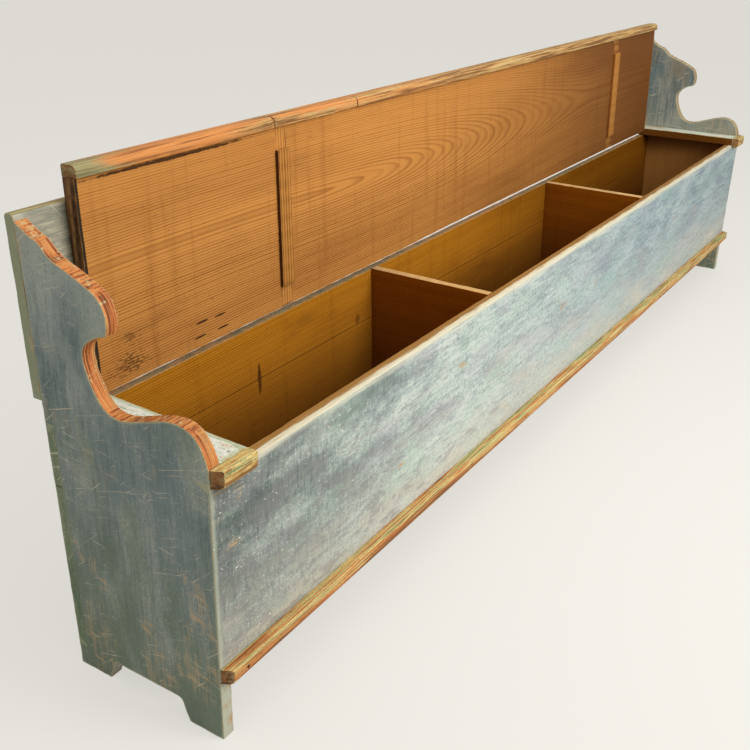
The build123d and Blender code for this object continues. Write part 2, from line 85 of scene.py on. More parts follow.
class Side(Enum):
    """The way that a face of a board looks."""

    LEFT = (-1, 0, 0)
    RIGHT = (1, 0, 0)
    FRONT = (0, -1, 0)
    BACK = (0, 1, 0)
    DOWN = (0, 0, -1)
    UP = (0, 0, 1)

    @classmethod
    def of(cls, normal: Vector) -> Side:
        """Find the side that a normal points to most.

        Args:
            normal: The face's normal.

        Returns:
            The nearest of the six sides.
        """
        return max(cls, key=lambda side: normal.dot(Vector(side.value)))


# ---------------------------------------------------------------- node trees


class Graph:
    """A node tree with short calls for the nodes that the finishes use."""

    def __init__(self, tree: Tree) -> None:
        """Keep the tree and empty it.

        Args:
            tree: The material's or group's tree.
        """
        self.tree = tree
        tree.nodes.clear()

    def node(self, kind: str, **settings: object) -> bpy.types.Node:
        """Add a node and set its properties.

        Args:
            kind: Blender's name of the node type, without the ShaderNode prefix.
            **settings: Properties to set on it.

        Returns:
            The new node.
        """
        made = self.tree.nodes.new(kind if kind.startswith("Node") else "ShaderNode" + kind)
        for name, value in settings.items():
            setattr(made, name, value)
        return made

    def feed(self, socket: Socket, value: object) -> None:
        """Link a socket to an input, or set the input's value.

        Args:
            socket: The input.
            value: A socket, number, or tuple.
        """
        if isinstance(value, bpy.types.NodeSocket):
            self.tree.links.new(value, socket)
        elif isinstance(value, tuple) and len(value) == 3 and socket.type == "RGBA":
            socket.default_value = (*value, 1.0)
        else:
            socket.default_value = value

    def math(self, operation: str, first: object, second: object = 0.0, clamp: bool = False) -> Socket:
        """Add a Math node.

        Args:
            operation: The node's operation.
            first: Its first input.
            second: Its second input.
            clamp: Whether the result is held between 0 and 1.

        Returns:
            The result's socket.
        """
        made = self.node("Math", operation=operation, use_clamp=clamp)
        self.feed(made.inputs[0], first)
        self.feed(made.inputs[1], second)
        return made.outputs[0]

    def add(self, first: object, second: object) -> Socket:
        """Return the sum of two values."""
        return self.math("ADD", first, second)

    def less(self, first: object, second: object) -> Socket:
        """Return the first value less the second."""
        return self.math("SUBTRACT", first, second)

    def times(self, first: object, second: object) -> Socket:
        """Return the product of two values."""
        return self.math("MULTIPLY", first, second)

    def sway(self, value: object, by: object) -> Socket:
        """Return how far a value lies over 0.5, times a factor."""
        return self.times(self.less(value, 0.5), by)

    def between(self, share: object, first: object, second: object) -> Socket:
        """Return the value that lies a share of the way from the first to the second."""
        return self.add(first, self.times(share, self.less(second, first)))

    def mix(self, factor: object, first: object, second: object, blend: str = "MIX") -> Socket:
        """Mix two colours.

        Args:
            factor: How much of the second.
            first: The first colour.
            second: The second colour.
            blend: The blend type.

        Returns:
            The mixed colour's socket.
        """
        made = self.node("Mix", data_type="RGBA", blend_type=blend, clamp_factor=True)
        self.feed(made.inputs[0], factor)
        self.feed(made.inputs[6], first)
        self.feed(made.inputs[7], second)
        return made.outputs[2]

    def ramp(self, value: Socket, *stops: tuple[float, Colour]) -> Socket:
        """Turn a value into a colour.

        Args:
            value: The value.
            *stops: Two or more places on the ramp, in rising order, each with its colour.

        Returns:
            The colour's socket.
        """
        made = self.node("ValToRGB")
        elements = made.color_ramp.elements
        elements[0].position, elements[1].position = stops[0][0], stops[-1][0]
        elements[0].color, elements[1].color = (*stops[0][1], 1.0), (*stops[-1][1], 1.0)
        for place, colour in stops[1:-1]:
            elements.new(place).color = (*colour, 1.0)
        self.feed(made.inputs[0], value)
        return made.outputs[0]

    def step(self, value: object, low: float, high: float, top: float = 1.0) -> Socket:
        """Rise smoothly from 0 to a top value as the input goes from low to high.

        Args:
            value: The input.
            low: Where the rise starts.
            high: Where it ends, which may be below low for a fall.
            top: The value at the end.

        Returns:
            The result's socket.
        """
        made = self.node("MapRange", interpolation_type="SMOOTHSTEP")
        self.feed(made.inputs[0], value)
        start, stop, ends = (low, high, (0.0, top)) if low < high else (high, low, (top, 0.0))
        for index, number in zip((1, 2, 3, 4), (start, stop, *ends)):
            made.inputs[index].default_value = number
        return made.outputs[0]

    def noise(
        self, vector: Socket, scale: float | Three, detail: float = 3.0, rough: float = 0.55,
        shift: Three = (0, 0, 0),
    ) -> Socket:
        """Add a noise texture.

        Args:
            vector: The coordinates.
            scale: Its scale, or its scale on each axis.
            detail: How many finer layers it has.
            rough: How strong the finer layers are.
            shift: Added to coordinates that are scaled on each axis.

        Returns:
            The value's socket, near 0.5 on average.
        """
        if isinstance(scale, tuple):
            vector, scale = self.stretch(vector, scale, shift=shift), 1.0
        made = self.node("TexNoise", noise_dimensions="3D")
        self.feed(made.inputs["Vector"], vector)
        for name, number in (("Scale", scale), ("Detail", detail), ("Roughness", rough)):
            made.inputs[name].default_value = number
        return made.outputs[0]

    def stretch(
        self, vector: Socket, scale: Three = (1, 1, 1), turn: Three = (0, 0, 0), shift: Three = (0, 0, 0),
    ) -> Socket:
        """Scale, turn and shift coordinates.

        Args:
            vector: The coordinates.
            scale: The scale on each axis.
            turn: Euler angles in degrees.
            shift: Added after the turn.

        Returns:
            The new coordinates' socket.
        """
        made = self.node("Mapping")
        self.feed(made.inputs[0], vector)
        made.inputs[1].default_value = shift
        made.inputs[2].default_value = tuple(math.radians(angle) for angle in turn)
        made.inputs[3].default_value = scale
        return made.outputs[0]

    def split(self, vector: Socket) -> tuple[Socket, Socket, Socket]:
        """Return the x, y and z sockets of a vector."""
        made = self.node("SeparateXYZ")
        self.feed(made.inputs[0], vector)
        return tuple(made.outputs[:3])

    def group(self, tree: Tree, **values: object) -> bpy.types.Node:
        """Place a node group and feed its named inputs.

        Args:
            tree: The group.
            **values: Its inputs, with underscores for spaces.

        Returns:
            The group's node.
        """
        made = self.node("Group", node_tree=tree)
        for name, value in values.items():
            self.feed(made.inputs[name.replace("_", " ")], value)
        return made


def new_group(
    name: str, inputs: Mapping[str, float | None], outputs: Sequence[str],
) -> tuple[Tree, Graph, dict[str, Socket], bpy.types.Node]:
    """Start a shader node group with named sockets.

    Args:
        name: The group's name.
        inputs: Each input's default by its name, or None for a vector.
        outputs: The names of the outputs, which are all numbers.

    Returns:
        The group, its graph, its inputs by name, and its output node.
    """
    tree = bpy.data.node_groups.new(name, "ShaderNodeTree")
    for label, default in inputs.items():
        kind = "NodeSocketVector" if default is None else "NodeSocketFloat"
        socket = tree.interface.new_socket(label, in_out="INPUT", socket_type=kind)
        if default is not None:
            socket.default_value = default
    for label in outputs:
        tree.interface.new_socket(label, in_out="OUTPUT", socket_type="NodeSocketFloat")
    graph = Graph(tree)
    entry = graph.node("NodeGroupInput")
    leave = graph.node("NodeGroupOutput")
    return tree, graph, {label: entry.outputs[label] for label in inputs}, leave


def pine_grain_group() -> Tree:
    """Build the growth rings, fibres and slow tone of a sawn pine board.

    The coordinates run along the grain on X, and are in metres. The rings are drawn round a
    pith that lies Pith Across from the board's middle and from Pith Near to Pith Far below its
    face, between Arch Start and Arch End along it. They come out as near-straight lines, or as
    tall arches where the pith comes close, as on a flat-sawn board.

    Returns:
        The group, with the outputs Ring, Fibre, Tone and Knot.
    """
    slope_inputs = {"Arch Start": -1.0, "Arch End": 1.0, "Pith Near": 0.05, "Pith Far": 0.1}
    ring_inputs = {"Pith Across": 0.0, "Ring Width": 0.005, "Wander": 0.02, "Knots": 1.0}
    names = ("Ring", "Fibre", "Tone", "Knot")
    tree, g, given, leave = new_group("pine grain", {"Vector": None, **slope_inputs, **ring_inputs}, names)
    vector = given["Vector"]
    x, y, _ = g.split(vector)
    # Knots: stretched cells, few of which hold one.
    cells = g.node("TexVoronoi", feature="F1")
    g.feed(cells.inputs["Vector"], g.stretch(vector, (2.1, 5.5, 1.5)))
    cells.inputs["Scale"].default_value = 1.0
    near_knot = cells.outputs["Distance"]
    rare = g.node("TexWhiteNoise", noise_dimensions="3D")
    g.feed(rare.inputs[0], cells.outputs["Position"])
    chosen = g.times(g.step(rare.outputs[0], 0.6, 0.7), given["Knots"])
    knot = g.times(g.step(near_knot, 0.06, 0.02), chosen)
    swell = g.times(g.step(near_knot, 0.28, 0.02, 0.014), chosen)
    # Rings about the pith, bent slowly along the board and round the knots.
    bend = g.sway(g.noise(vector, (0.7, 3.0, 3.0), 1.0), given["Wander"])
    ripple = g.sway(g.noise(vector, (4.0, 34.0, 34.0), 2.0), given["Wander"])
    across = g.add(g.less(y, given["Pith Across"]), g.add(bend, g.times(ripple, 0.16)))
    slope = g.node("MapRange", interpolation_type="SMOOTHSTEP")
    for index, value in enumerate((x, *(given[name] for name in slope_inputs))):
        g.feed(slope.inputs[index], value)
    depth = slope.outputs[0]
    square = g.add(g.times(across, across), g.times(depth, depth))
    radius = g.add(g.math("SQRT", square), swell)
    count = g.math("DIVIDE", radius, given["Ring Width"])
    phase = g.math("FRACT", count)
    late = g.times(g.step(phase, 0.35, 0.82), g.step(phase, 1.0, 0.88))
    strength = g.node("TexWhiteNoise", noise_dimensions="1D")
    g.feed(strength.inputs["W"], g.math("FLOOR", count))
    ring = g.times(late, g.add(g.times(strength.outputs[0], 0.65), 0.35))
    fibre = g.noise(vector, (9.0, 520.0, 300.0), 3.0, 0.6)
    tone = g.noise(vector, (1.1, 7.0, 3.0), 3.0, 0.6)
    for name, value in zip(names, (ring, fibre, tone, knot)):
        g.feed(leave.inputs[name], value)
    return tree


def paint_wear_group() -> Tree:
    """Build the masks of old worn paint from grain-aligned coordinates.

    Returns:
        The group, with the outputs Edge, Flake, Scrape, Scratch, Patch, Streak, Speck and Fleck.
    """
    names = ("Edge", "Flake", "Scrape", "Scratch", "Patch", "Streak", "Speck", "Fleck")
    inputs = {"Vector": None, "Arris": FAR_FROM_ARRIS, "Reach": 0.003, "Wear": 0.5}
    tree, g, given, leave = new_group("paint wear", inputs, names)
    vector = given["Vector"]
    blotch = g.noise(vector, (6.0, 15.0, 12.0), 5.0, 0.62)
    along = g.noise(vector, (13.0, 170.0, 60.0), 3.0, 0.6)
    cluster = g.noise(vector, (7.0, 12.0, 10.0), 3.0, 0.6, (4.3, 2.2, 1.0))
    # Bare wood in a ragged band along the arrises, and in flakes that follow the grain.
    rag = g.noise(vector, (40.0, 90.0, 60.0), 4.0, 0.65)
    band = g.times(g.less(rag, 0.28), g.times(given["Reach"], 4.0))
    edge = g.step(g.less(band, given["Arris"]), -0.0008, 0.0008)
    gate = g.less(g.add(cluster, g.times(given["Wear"], 0.22)), 0.7)
    flake = g.times(g.step(gate, -0.03, 0.05), g.step(along, 0.44, 0.6))
    scraped = g.noise(g.stretch(vector, turn=(0, 0, 14)), (95.0, 17.0, 20.0), 4.0, 0.66)
    scrape = g.times(g.step(gate, -0.04, 0.05), g.step(scraped, 0.56, 0.63))
    # Scratches: short thin lines on three slants, in clusters.
    slants = ((72.0, 13.0, 330.0, 0.71), (-82.0, 15.0, 380.0, 0.72), (48.0, 17.0, 300.0, 0.73))
    lines = []
    for angle, along_line, across_line, level in slants:
        turned = g.stretch(vector, turn=(0, 0, angle))
        drawn = g.noise(turned, (along_line, across_line, 40.0), 2.0, 0.45)
        lines.append(g.step(drawn, level - 0.045, level))
    scratch = g.math("MAXIMUM", g.math("MAXIMUM", lines[0], lines[1]), lines[2])
    scratch = g.times(scratch, g.step(cluster, 0.4, 0.56))
    streak = g.noise(vector, (5.0, 120.0, 60.0), 4.0, 0.65)
    speck = g.noise(vector, (190.0, 300.0, 200.0), 2.0, 0.65)
    fleck = g.step(g.noise(vector, (150.0, 210.0, 150.0), 1.0, 0.5, (7.0, 1.0, 0.0)), 0.7, 0.76)
    for name, value in zip(names, (edge, flake, scrape, scratch, blotch, streak, speck, fleck)):
        g.feed(leave.inputs[name], value)
    return tree


class Grain(Enum):
    """The turn that lays a board's grain along X and its face's width along Y, in degrees."""

    LENGTHWISE_UPRIGHT = (-90.0, 0.0, 0.0)
    LENGTHWISE_FLAT = (0.0, 0.0, 0.0)
    UPRIGHT_END = (0.0, 90.0, 0.0)
    UPRIGHT_BAR = (90.0, 0.0, 90.0)
    CROSSWISE_UPRIGHT = (-90.0, -90.0, 0.0)
    CROSSWISE_FLAT = (0.0, 0.0, -90.0)


def shade(colour: Colour, by: float) -> Colour:
    """Return a colour made darker or paler by a factor."""
    return tuple(min(1.0, by * part) for part in colour)


class Finish:
    """A material under way, with the shared starting nodes of every finish."""

    def __init__(self, name: str, grain: Grain, covered: bool = False, shift: Three = (0, 0, 0)) -> None:
        """Make the material, its shader, and its coordinates.

        Args:
            name: The material's name.
            grain: How the board's grain lies.
            covered: Whether it goes on pieces that keep no distance to an arris.
            shift: Moves the grain-aligned coordinates that the patterns follow.
        """
        self.material = bpy.data.materials.new(name)
        self.material.use_nodes = True
        self.g = Graph(self.material.node_tree)
        self.shader = self.g.node("BsdfPrincipled")
        self.g.feed(self.g.node("OutputMaterial").inputs[0], self.shader.outputs[0])
        self.place = self.g.node("TexCoord").outputs["Object"]
        self.x, self.y, self.z = self.g.split(self.place)
        self.along = self.g.stretch(self.place, turn=grain.value)
        self.vector = self.g.stretch(self.along, shift=shift)
        self.colour: Socket | Colour = BLACK
        if covered:
            self.arris = self.g.add(FAR_FROM_ARRIS, 0.0)
        else:
            self.arris = self.g.node("Attribute", attribute_name="arris").outputs["Fac"]

    def lay(self, share: object, colour: object, blend: str = "MIX") -> None:
        """Lay a colour over what the material shows so far.

        Args:
            share: How much of it.
            colour: The colour.
            blend: The blend type.
        """
        self.colour = self.g.mix(share, self.colour, colour, blend)

    def close(self, rough: object, height: Socket, depth: float, gloss: float = 0.3) -> bpy.types.Material:
        """Feed the shader.

        Args:
            rough: The roughness.
            height: What the bump follows.
            depth: The bump's depth, in metres.
            gloss: The shader's specular level.

        Returns:
            The finished material.
        """
        bump = self.g.node("Bump")
        bump.inputs["Strength"].default_value = 1.0
        bump.inputs["Distance"].default_value = depth
        self.g.feed(bump.inputs["Height"], height)
        for name, value in (("Base Color", self.colour), ("Roughness", rough), ("Normal", bump.outputs[0])):
            self.g.feed(self.shader.inputs[name], value)
        self.shader.inputs["Specular IOR Level"].default_value = gloss
        return self.material


@dataclass(frozen=True)
class Spot:
    """A dark mark on a board: its place and half-sizes in the board's grain coordinates."""

    place: Pair
    size: Pair
    strength: float = 0.8
    ragged: float = 0.0

    def mask(self, g: Graph, vector: Socket) -> Socket:
        """Draw the mark's mask.

        Args:
            g: The material's graph.
            vector: The grain coordinates.

        Returns:
            The mask's socket.
        """
        (x, y), (wide, high) = self.place, self.size
        scaled = g.stretch(vector, (1 / wide, 1 / high, 0.0), shift=(-x / wide, -y / high, 0.0))
        length = g.node("VectorMath", operation="LENGTH")
        g.feed(length.inputs[0], scaled)
        far = length.outputs["Value"]
        if self.ragged:
            rough = g.noise(vector, (85.0, 260.0, 60.0), 4.0, 0.7)
            far = g.add(far, g.times(g.less(rough, 0.42), self.ragged))
        return g.step(far, 1.15, 0.75, self.strength)


@dataclass(frozen=True)
class PineFinish:
    """Bare, aged pine.

    A pair of places says where an effect starts and where it is full, in metres, and a third
    number is its full share. The pith's numbers are its place across the board, and its depth
    below the face at the two ends of the arch.
    """

    name: str
    grain: Grain
    pale: Colour = (0.50, 0.205, 0.045)
    deep: Colour = (0.25, 0.085, 0.014)
    dark: Colour = (0.085, 0.028, 0.008)
    shift: Three = (0.0, 0.0, 0.0)
    pith: Three = (0.0, 0.1, 0.1)
    arch: Pair = (-1.0, 1.0)
    ring_width: float = 0.005
    wander: float = 0.02
    knots: float = 1.0
    grime: float = 0.3
    clouds: float = 0.4
    lines: float = 0.55
    fading: Three | None = None
    spots: tuple[Spot, ...] = ()
    washed: Pair | None = None
    wash: Colour = (0.66, 0.64, 0.52)
    end_strip: Pair | None = None
    end_dark: Colour = (0.014, 0.013, 0.008)
    low_shade: Pair | None = None
    painted_shade: Three | None = None
    edge_share: float = 0.4
    roughness: float = 0.72
    relief: float = 0.0004
    gloss: float = 0.1
    covered: bool = False

    def make(self, groups: Groups) -> bpy.types.Material:
        """Build the material.

        Args:
            groups: The shared node groups by name.

        Returns:
            The material.
        """
        finish = Finish(self.name, self.grain, self.covered, self.shift)
        g, vector = finish.g, finish.vector
        wood = g.group(
            groups["grain"],
            Vector=vector,
            Pith_Across=self.pith[0] + self.shift[1],
            Pith_Near=self.pith[1],
            Pith_Far=self.pith[2],
            Arch_Start=self.arch[0] + self.shift[0],
            Arch_End=self.arch[1] + self.shift[0],
            Ring_Width=self.ring_width,
            Wander=self.wander,
            Knots=self.knots,
        ).outputs
        line = g.times(wood["Ring"], self.lines)
        if self.fading is not None:
            _, height, _ = g.split(finish.along)
            line = g.times(line, g.less(1.0, g.step(height, *self.fading)))
        depth = g.add(line, g.step(wood["Fibre"], 0.35, 0.75, 0.2))
        depth = g.math("ADD", depth, g.step(wood["Tone"], 0.42, 0.75, self.grime), clamp=True)
        bands = g.noise(vector, (38.0, 2.5, 2.0), 3.0, 0.6)
        clouds = g.noise(vector, (3.0, 9.0, 5.0), 4.0, 0.65, (3.1, 1.7, 0.4))
        dents = g.noise(vector, (70.0, 130.0, 100.0), 2.0)
        finish.colour = g.mix(depth, self.pale, self.deep)
        finish.lay(wood["Knot"], self.dark)
        finish.lay(g.step(bands, 0.52, 0.75, 0.3), self.deep)
        finish.lay(g.step(clouds, 0.58, 0.8, self.clouds), self.dark)
        finish.lay(g.step(dents, 0.68, 0.76, 0.35), self.dark)
        for spot in self.spots:
            finish.lay(spot.mask(g, finish.along), shade(self.dark, 0.35))
        self.age(finish, wood["Tone"], bands)
        finish.lay(g.step(finish.arris, 0.003, 0.0005, self.edge_share), shade(self.pale, 1.3))
        height = g.less(g.times(wood["Fibre"], 0.5), wood["Ring"])
        return finish.close(self.roughness, height, self.relief, self.gloss)

    def age(self, finish: Finish, tone: Socket, bands: Socket) -> None:
        """Lay on what only some boards have: painted shade along the board, painted shade low in the chest,
        and spilt paint.

        Args:
            finish: The material under way.
            tone: The wood's slow tone.
            bands: A noise in bands across the grain.
        """
        g = finish.g
        # Painted shade: the wood darkens along the board towards its far end.
        if self.painted_shade is not None:
            finish.lay(g.step(g.add(finish.x, g.sway(tone, 0.8)), *self.painted_shade), shade(self.deep, 0.55))
        # Painted shade: the wood darkens towards the bottom of the chest.
        if self.low_shade is not None:
            finish.lay(g.step(finish.z, *self.low_shade, 0.72), self.dark)
        if self.washed is not None:
            rough = g.noise(finish.vector, (14.0, 260.0, 60.0), 4.0, 0.65)
            finish.lay(g.step(g.add(finish.y, g.sway(rough, 0.022)), *self.washed, 0.95), self.wash)
        # A dark strip across the board near its end along X, as at the lid's left end.
        if self.end_strip is not None:
            finish.lay(g.step(g.add(finish.x, g.sway(bands, 0.002)), *self.end_strip, 0.97), self.end_dark)


@dataclass(frozen=True)
class PaintFinish:
    """Old flat paint over pine, worn along the edges and the grain.

    Effects are placed as on the pine. The weights are the shares of the patches, the streaks,
    the brush marks and the mottle in the tone. Between the two heights of stained, brown wood
    shows in the paint's stead.
    """

    name: str
    grain: Grain
    tones: tuple[Colour, Colour, Colour]
    border: Colour
    cream: Colour = (0.47, 0.45, 0.34)
    bare: Colour = (0.46, 0.235, 0.085)
    tints: tuple[Colour, ...] = ()
    tint_share: float = 0.5
    shift: Three = (0.0, 0.0, 0.0)
    weights: tuple[float, float, float, float] = (0.6, 0.45, 0.45, 0.0)
    combed: Pair | None = None
    spread: float = 0.12
    border_reach: float = 0.02
    border_share: float = 0.7
    wear: float = 0.4
    reach: float = 0.002
    scratches: float = 0.7
    flecks: float = 0.35
    scrapes: float = 0.0
    flakes: float = 0.8
    grit: float = 0.35
    strewn: float = 0.6
    low: Colour | None = None
    low_top: float = 0.4
    low_base: float = -1.0
    low_spread: float = 0.9
    low_scuffs: float = 0.0
    high: Three | None = None
    painted_shades: tuple[tuple[float, float, Colour], ...] = ()
    chips: Pair | None = None
    chip: Colour = (0.175, 0.160, 0.165)
    chip_share: float = 0.42
    top_band: Pair | None = None
    band: Colour = (0.62, 0.56, 0.42)
    stained: Pair | None = None
    stain: Colour = (0.21, 0.085, 0.022)
    roughness: float = 0.66
    relief: float = 0.0007
    gloss: float = 0.22
    covered: bool = False

    def brush(self, finish: Finish, worn: Mapping[str, Socket]) -> tuple[Socket, object]:
        """Paint the board in its three tones and its tints, with the marks of the brush.

        Args:
            finish: The material under way.
            worn: The wear group's outputs.

        Returns:
            The brush marks, and how strong the flecks are.
        """
        g, vector = finish.g, finish.vector
        strokes = g.noise(vector, (20.0, 300.0, 90.0), 4.0, 0.62)
        streak, flecks = worn["Streak"], self.flecks
        if self.combed is not None:
            share = g.step(g.add(finish.x, g.sway(worn["Patch"], 0.9)), *self.combed)
            upright = g.noise(vector, (230.0, 22.0, 90.0), 4.0, 0.62)
            broad = g.noise(vector, (70.0, 9.0, 60.0), 4.0, 0.65)
            strokes = g.between(share, strokes, upright)
            streak = g.between(share, streak, broad)
            flecks = g.add(self.flecks, g.times(share, g.step(broad, 0.5, 0.6)))
        mottle = g.noise(vector, 95.0, 5.0, 0.72)
        tone = 0.0
        for part, by in zip((worn["Patch"], streak, strokes, mottle), self.weights):
            tone = g.add(tone, g.times(part, by))
        centre = 0.5 * sum(self.weights)
        finish.colour = g.ramp(tone, *zip((centre - self.spread, centre, centre + self.spread), self.tones))
        for index, tint in enumerate(self.tints):
            veil = g.noise(vector, (4.0, 12.0, 8.0), 5.0, 0.66, (3.7 * index, 1.9 * index, 0.6))
            veil = g.add(veil, g.sway(strokes, 0.4))
            finish.lay(g.step(veil, 0.5, 0.62, self.tint_share), tint)
        return strokes, flecks

    def age(self, finish: Finish, patch: Socket) -> None:
        """Lay the slow changes of tone and the painted shade over the paint, and the chips.

        Args:
            finish: The material under way.
            patch: The wear group's broad patches.
        """
        g, x, z = finish.g, finish.x, finish.z
        drift = g.add(x, g.sway(patch, 1.1))
        # Painted shade: each one multiplies the paint darker between its two places along the board.
        for clear, full, painted_shade in self.painted_shades:
            finish.lay(g.step(drift, clear, full), painted_shade, "MULTIPLY")
        if self.low is not None:
            share = g.step(g.add(z, g.sway(patch, self.low_spread)), self.low_top, 0.0, 0.8)
            finish.lay(g.times(share, g.step(z, self.low_base, self.low_base + 0.05)), self.low)
        if self.high is not None:
            finish.lay(g.step(g.add(z, g.sway(patch, 0.5)), *self.high), shade(self.tones[2], 1.3))
        if self.chips is not None:
            flaked = g.noise(finish.along, (14.0, 40.0, 30.0), 6.0, 0.68)
            level = g.add(flaked, g.less(g.step(x, *self.chips, 0.15), 0.655))
            level = g.add(level, g.step(z, 0.36, 0.14, 0.02))
            finish.lay(g.step(level, 0.0, 0.07, self.chip_share), self.chip)

    def strip(self, finish: Finish, worn: Mapping[str, Socket], ring: Socket) -> None:
        """Lay the wood bare in scrapes, in flakes and along the arrises, and stain what the chest holds.

        Args:
            finish: The material under way.
            worn: The wear group's outputs.
            ring: The wood's growth rings.
        """
        g, z = finish.g, finish.z
        grainy = g.mix(g.times(ring, 0.6), self.bare, shade(self.bare, 0.45))
        finish.lay(g.times(worn["Scrape"], self.scrapes), grainy)
        finish.lay(g.times(worn["Flake"], self.flakes), grainy)
        finish.lay(worn["Edge"], grainy)
        if self.stained is not None:
            low, high = self.stained
            inside = g.times(g.step(z, low - 0.004, low), g.step(z, high + 0.004, high))
            finish.lay(inside, g.mix(g.times(ring, 0.7), self.stain, shade(self.stain, 0.4)))

    def make(self, groups: Groups) -> bpy.types.Material:
        """Build the material.

        Args:
            groups: The shared node groups by name.

        Returns:
            The material.
        """
        finish = Finish(self.name, self.grain, self.covered, self.shift)
        g, vector, arris = finish.g, finish.vector, finish.arris
        amount: object = self.wear
        if self.low_scuffs:
            amount = g.add(self.wear, g.step(finish.z, self.low_top, 0.08, self.low_scuffs))
        worn = g.group(groups["wear"], Vector=vector, Arris=arris, Reach=self.reach, Wear=amount).outputs
        wood = g.group(groups["grain"], Vector=vector, Ring_Width=0.006, Pith_Across=0.6, Knots=0.0).outputs
        strokes, flecks = self.brush(finish, worn)
        self.age(finish, worn["Patch"])
        grit = g.add(worn["Speck"], g.sway(strokes, self.strewn))
        share = g.step(worn["Patch"], 0.38, 0.62, self.grit)
        finish.lay(g.times(g.step(grit, 0.54, 0.68), share), self.cream)
        finish.lay(g.step(grit, 0.45, 0.32, self.grit), shade(self.tones[0], 0.6))
        near = g.less(g.times(worn["Patch"], 1.7 * self.border_reach), arris)
        share = g.step(near, -0.5 * self.border_reach, 0.3 * self.border_reach, self.border_share)
        finish.lay(share, self.border)
        if self.top_band is not None:
            place = g.add(finish.z, g.sway(worn["Streak"], 0.05))
            finish.lay(g.step(place, *self.top_band, 0.85), self.band)
        finish.lay(g.times(worn["Scratch"], self.scratches), self.cream)
        finish.lay(g.times(worn["Fleck"], flecks), self.cream)
        self.strip(finish, worn, wood["Ring"])
        height = g.less(g.times(worn["Streak"], 0.6), g.times(worn["Flake"], 0.5))
        height = g.add(height, g.times(grit, 0.4))
        return finish.close(self.roughness, height, self.relief, self.gloss)


@dataclass(frozen=True)
class StripFinish:
    """Paint rubbed through to the wood in streaks along a moulded strip or a sawn edge."""

    name: str
    grain: Grain
    stops: Stops
    stretch: Three = (5.0, 230.0, 230.0)
    shift: Three = (0.0, 0.0, 0.0)
    drift: float = 0.12
    contrast: float = 1.5
    tilt: Three | None = None
    edge: Colour = (0.52, 0.48, 0.30)
    edge_reach: float = 0.002
    line: Colour = (0.17, 0.07, 0.022)
    lines: float = 0.65
    specks: float = 0.6
    crossed: Three | None = None
    warm: Three | None = None
    warmth: tuple[Colour, Colour] = ((0.24, 0.085, 0.024), (0.56, 0.20, 0.048))
    tipped: tuple[float, float, Colour] | None = None
    rusty_nail: float | None = None
    rust: Colour = (0.03, 0.014, 0.008)
    roughness: float = 0.7
    relief: float = 0.0007
    gloss: float = 0.2
    covered: bool = False

    def make(self, groups: Groups) -> bpy.types.Material:
        """Build the material.

        Args:
            groups: The shared node groups by name.

        Returns:
            The material.
        """
        finish = Finish(self.name, self.grain, self.covered, self.shift)
        g, vector, x = finish.g, finish.vector, finish.x
        streak = g.noise(vector, self.stretch, 4.0, 0.62)
        fine = g.noise(vector, tuple(1.9 * part for part in self.stretch), 3.0, 0.6, (1.0, 3.0, 2.0))
        if self.crossed is not None:
            other = g.noise(vector, self.crossed, 3.0, 0.6)
            _, _, up = g.split(g.node("NewGeometry").outputs["Normal"])
            streak = fine = g.between(g.step(g.math("ABSOLUTE", up), 0.78, 0.94), streak, other)
        slow = g.noise(vector, (4.0, 30.0, 30.0), 4.0, 0.62, (2.0, 5.0, 1.0))
        value = g.add(0.5, g.sway(streak, self.contrast))
        value = g.add(value, g.sway(slow, self.drift * 4.0))
        if self.tilt is not None:
            value = g.add(value, g.less(g.step(finish.z, *self.tilt), 0.5 * self.tilt[2]))
        finish.colour = g.ramp(value, *self.stops)
        finish.lay(g.step(fine, 0.55, 0.64, self.lines), self.line)
        rag = g.noise(vector, (60.0, 160.0, 160.0), 4.0, 0.65)
        band = g.less(g.times(g.less(rag, 0.25), 4.0 * self.edge_reach), finish.arris)
        finish.lay(g.step(band, -0.0006, 0.0006, 0.8), self.edge)
        speck = g.noise(vector, 420.0, 2.0, 0.6)
        finish.lay(g.step(speck, 0.58, 0.68, self.specks), self.line)
        if self.warm is not None:
            patchy = g.times(g.step(x, *self.warm), g.step(slow, 0.38, 0.52))
            finish.lay(patchy, g.mix(g.step(streak, 0.36, 0.52), *self.warmth))
        if self.tipped is not None:
            start, stop, tip = self.tipped
            share = g.step(g.add(x, g.sway(slow, 0.3)), start, stop, 0.8)
            finish.lay(share, g.mix(g.step(fine, 0.4, 0.6), tip, shade(tip, 0.45)))
        if self.rusty_nail is not None:
            finish.lay(g.step(x, self.rusty_nail + 0.01, self.rusty_nail), self.rust)
        return finish.close(self.roughness, g.add(streak, g.times(speck, 0.4)), self.relief, self.gloss)


@dataclass(frozen=True)
class IronFinish:
    """Dark forged iron with rust."""

    name: str
    dark: Colour = (0.045, 0.038, 0.034)
    rust: Colour = (0.19, 0.075, 0.03)
    relief: float = 0.0002

    def make(self, groups: Groups) -> bpy.types.Material:
        """Build the material.

        Args:
            groups: The shared node groups by name; iron uses none.

        Returns:
            The material.
        """
        finish = Finish(self.name, Grain.LENGTHWISE_FLAT, covered=True)
        g = finish.g
        bloom = g.noise(finish.place, 180.0, 4.0, 0.65)
        pits = g.noise(finish.place, 900.0, 2.0)
        finish.colour = g.mix(g.step(bloom, 0.42, 0.62), self.dark, self.rust)
        g.feed(finish.shader.inputs["Metallic"], g.step(bloom, 0.55, 0.4, 0.8))
        return finish.close(g.step(bloom, 0.2, 0.8, 0.9), pits, self.relief)


# ---------------------------------------------------------------- worn boards


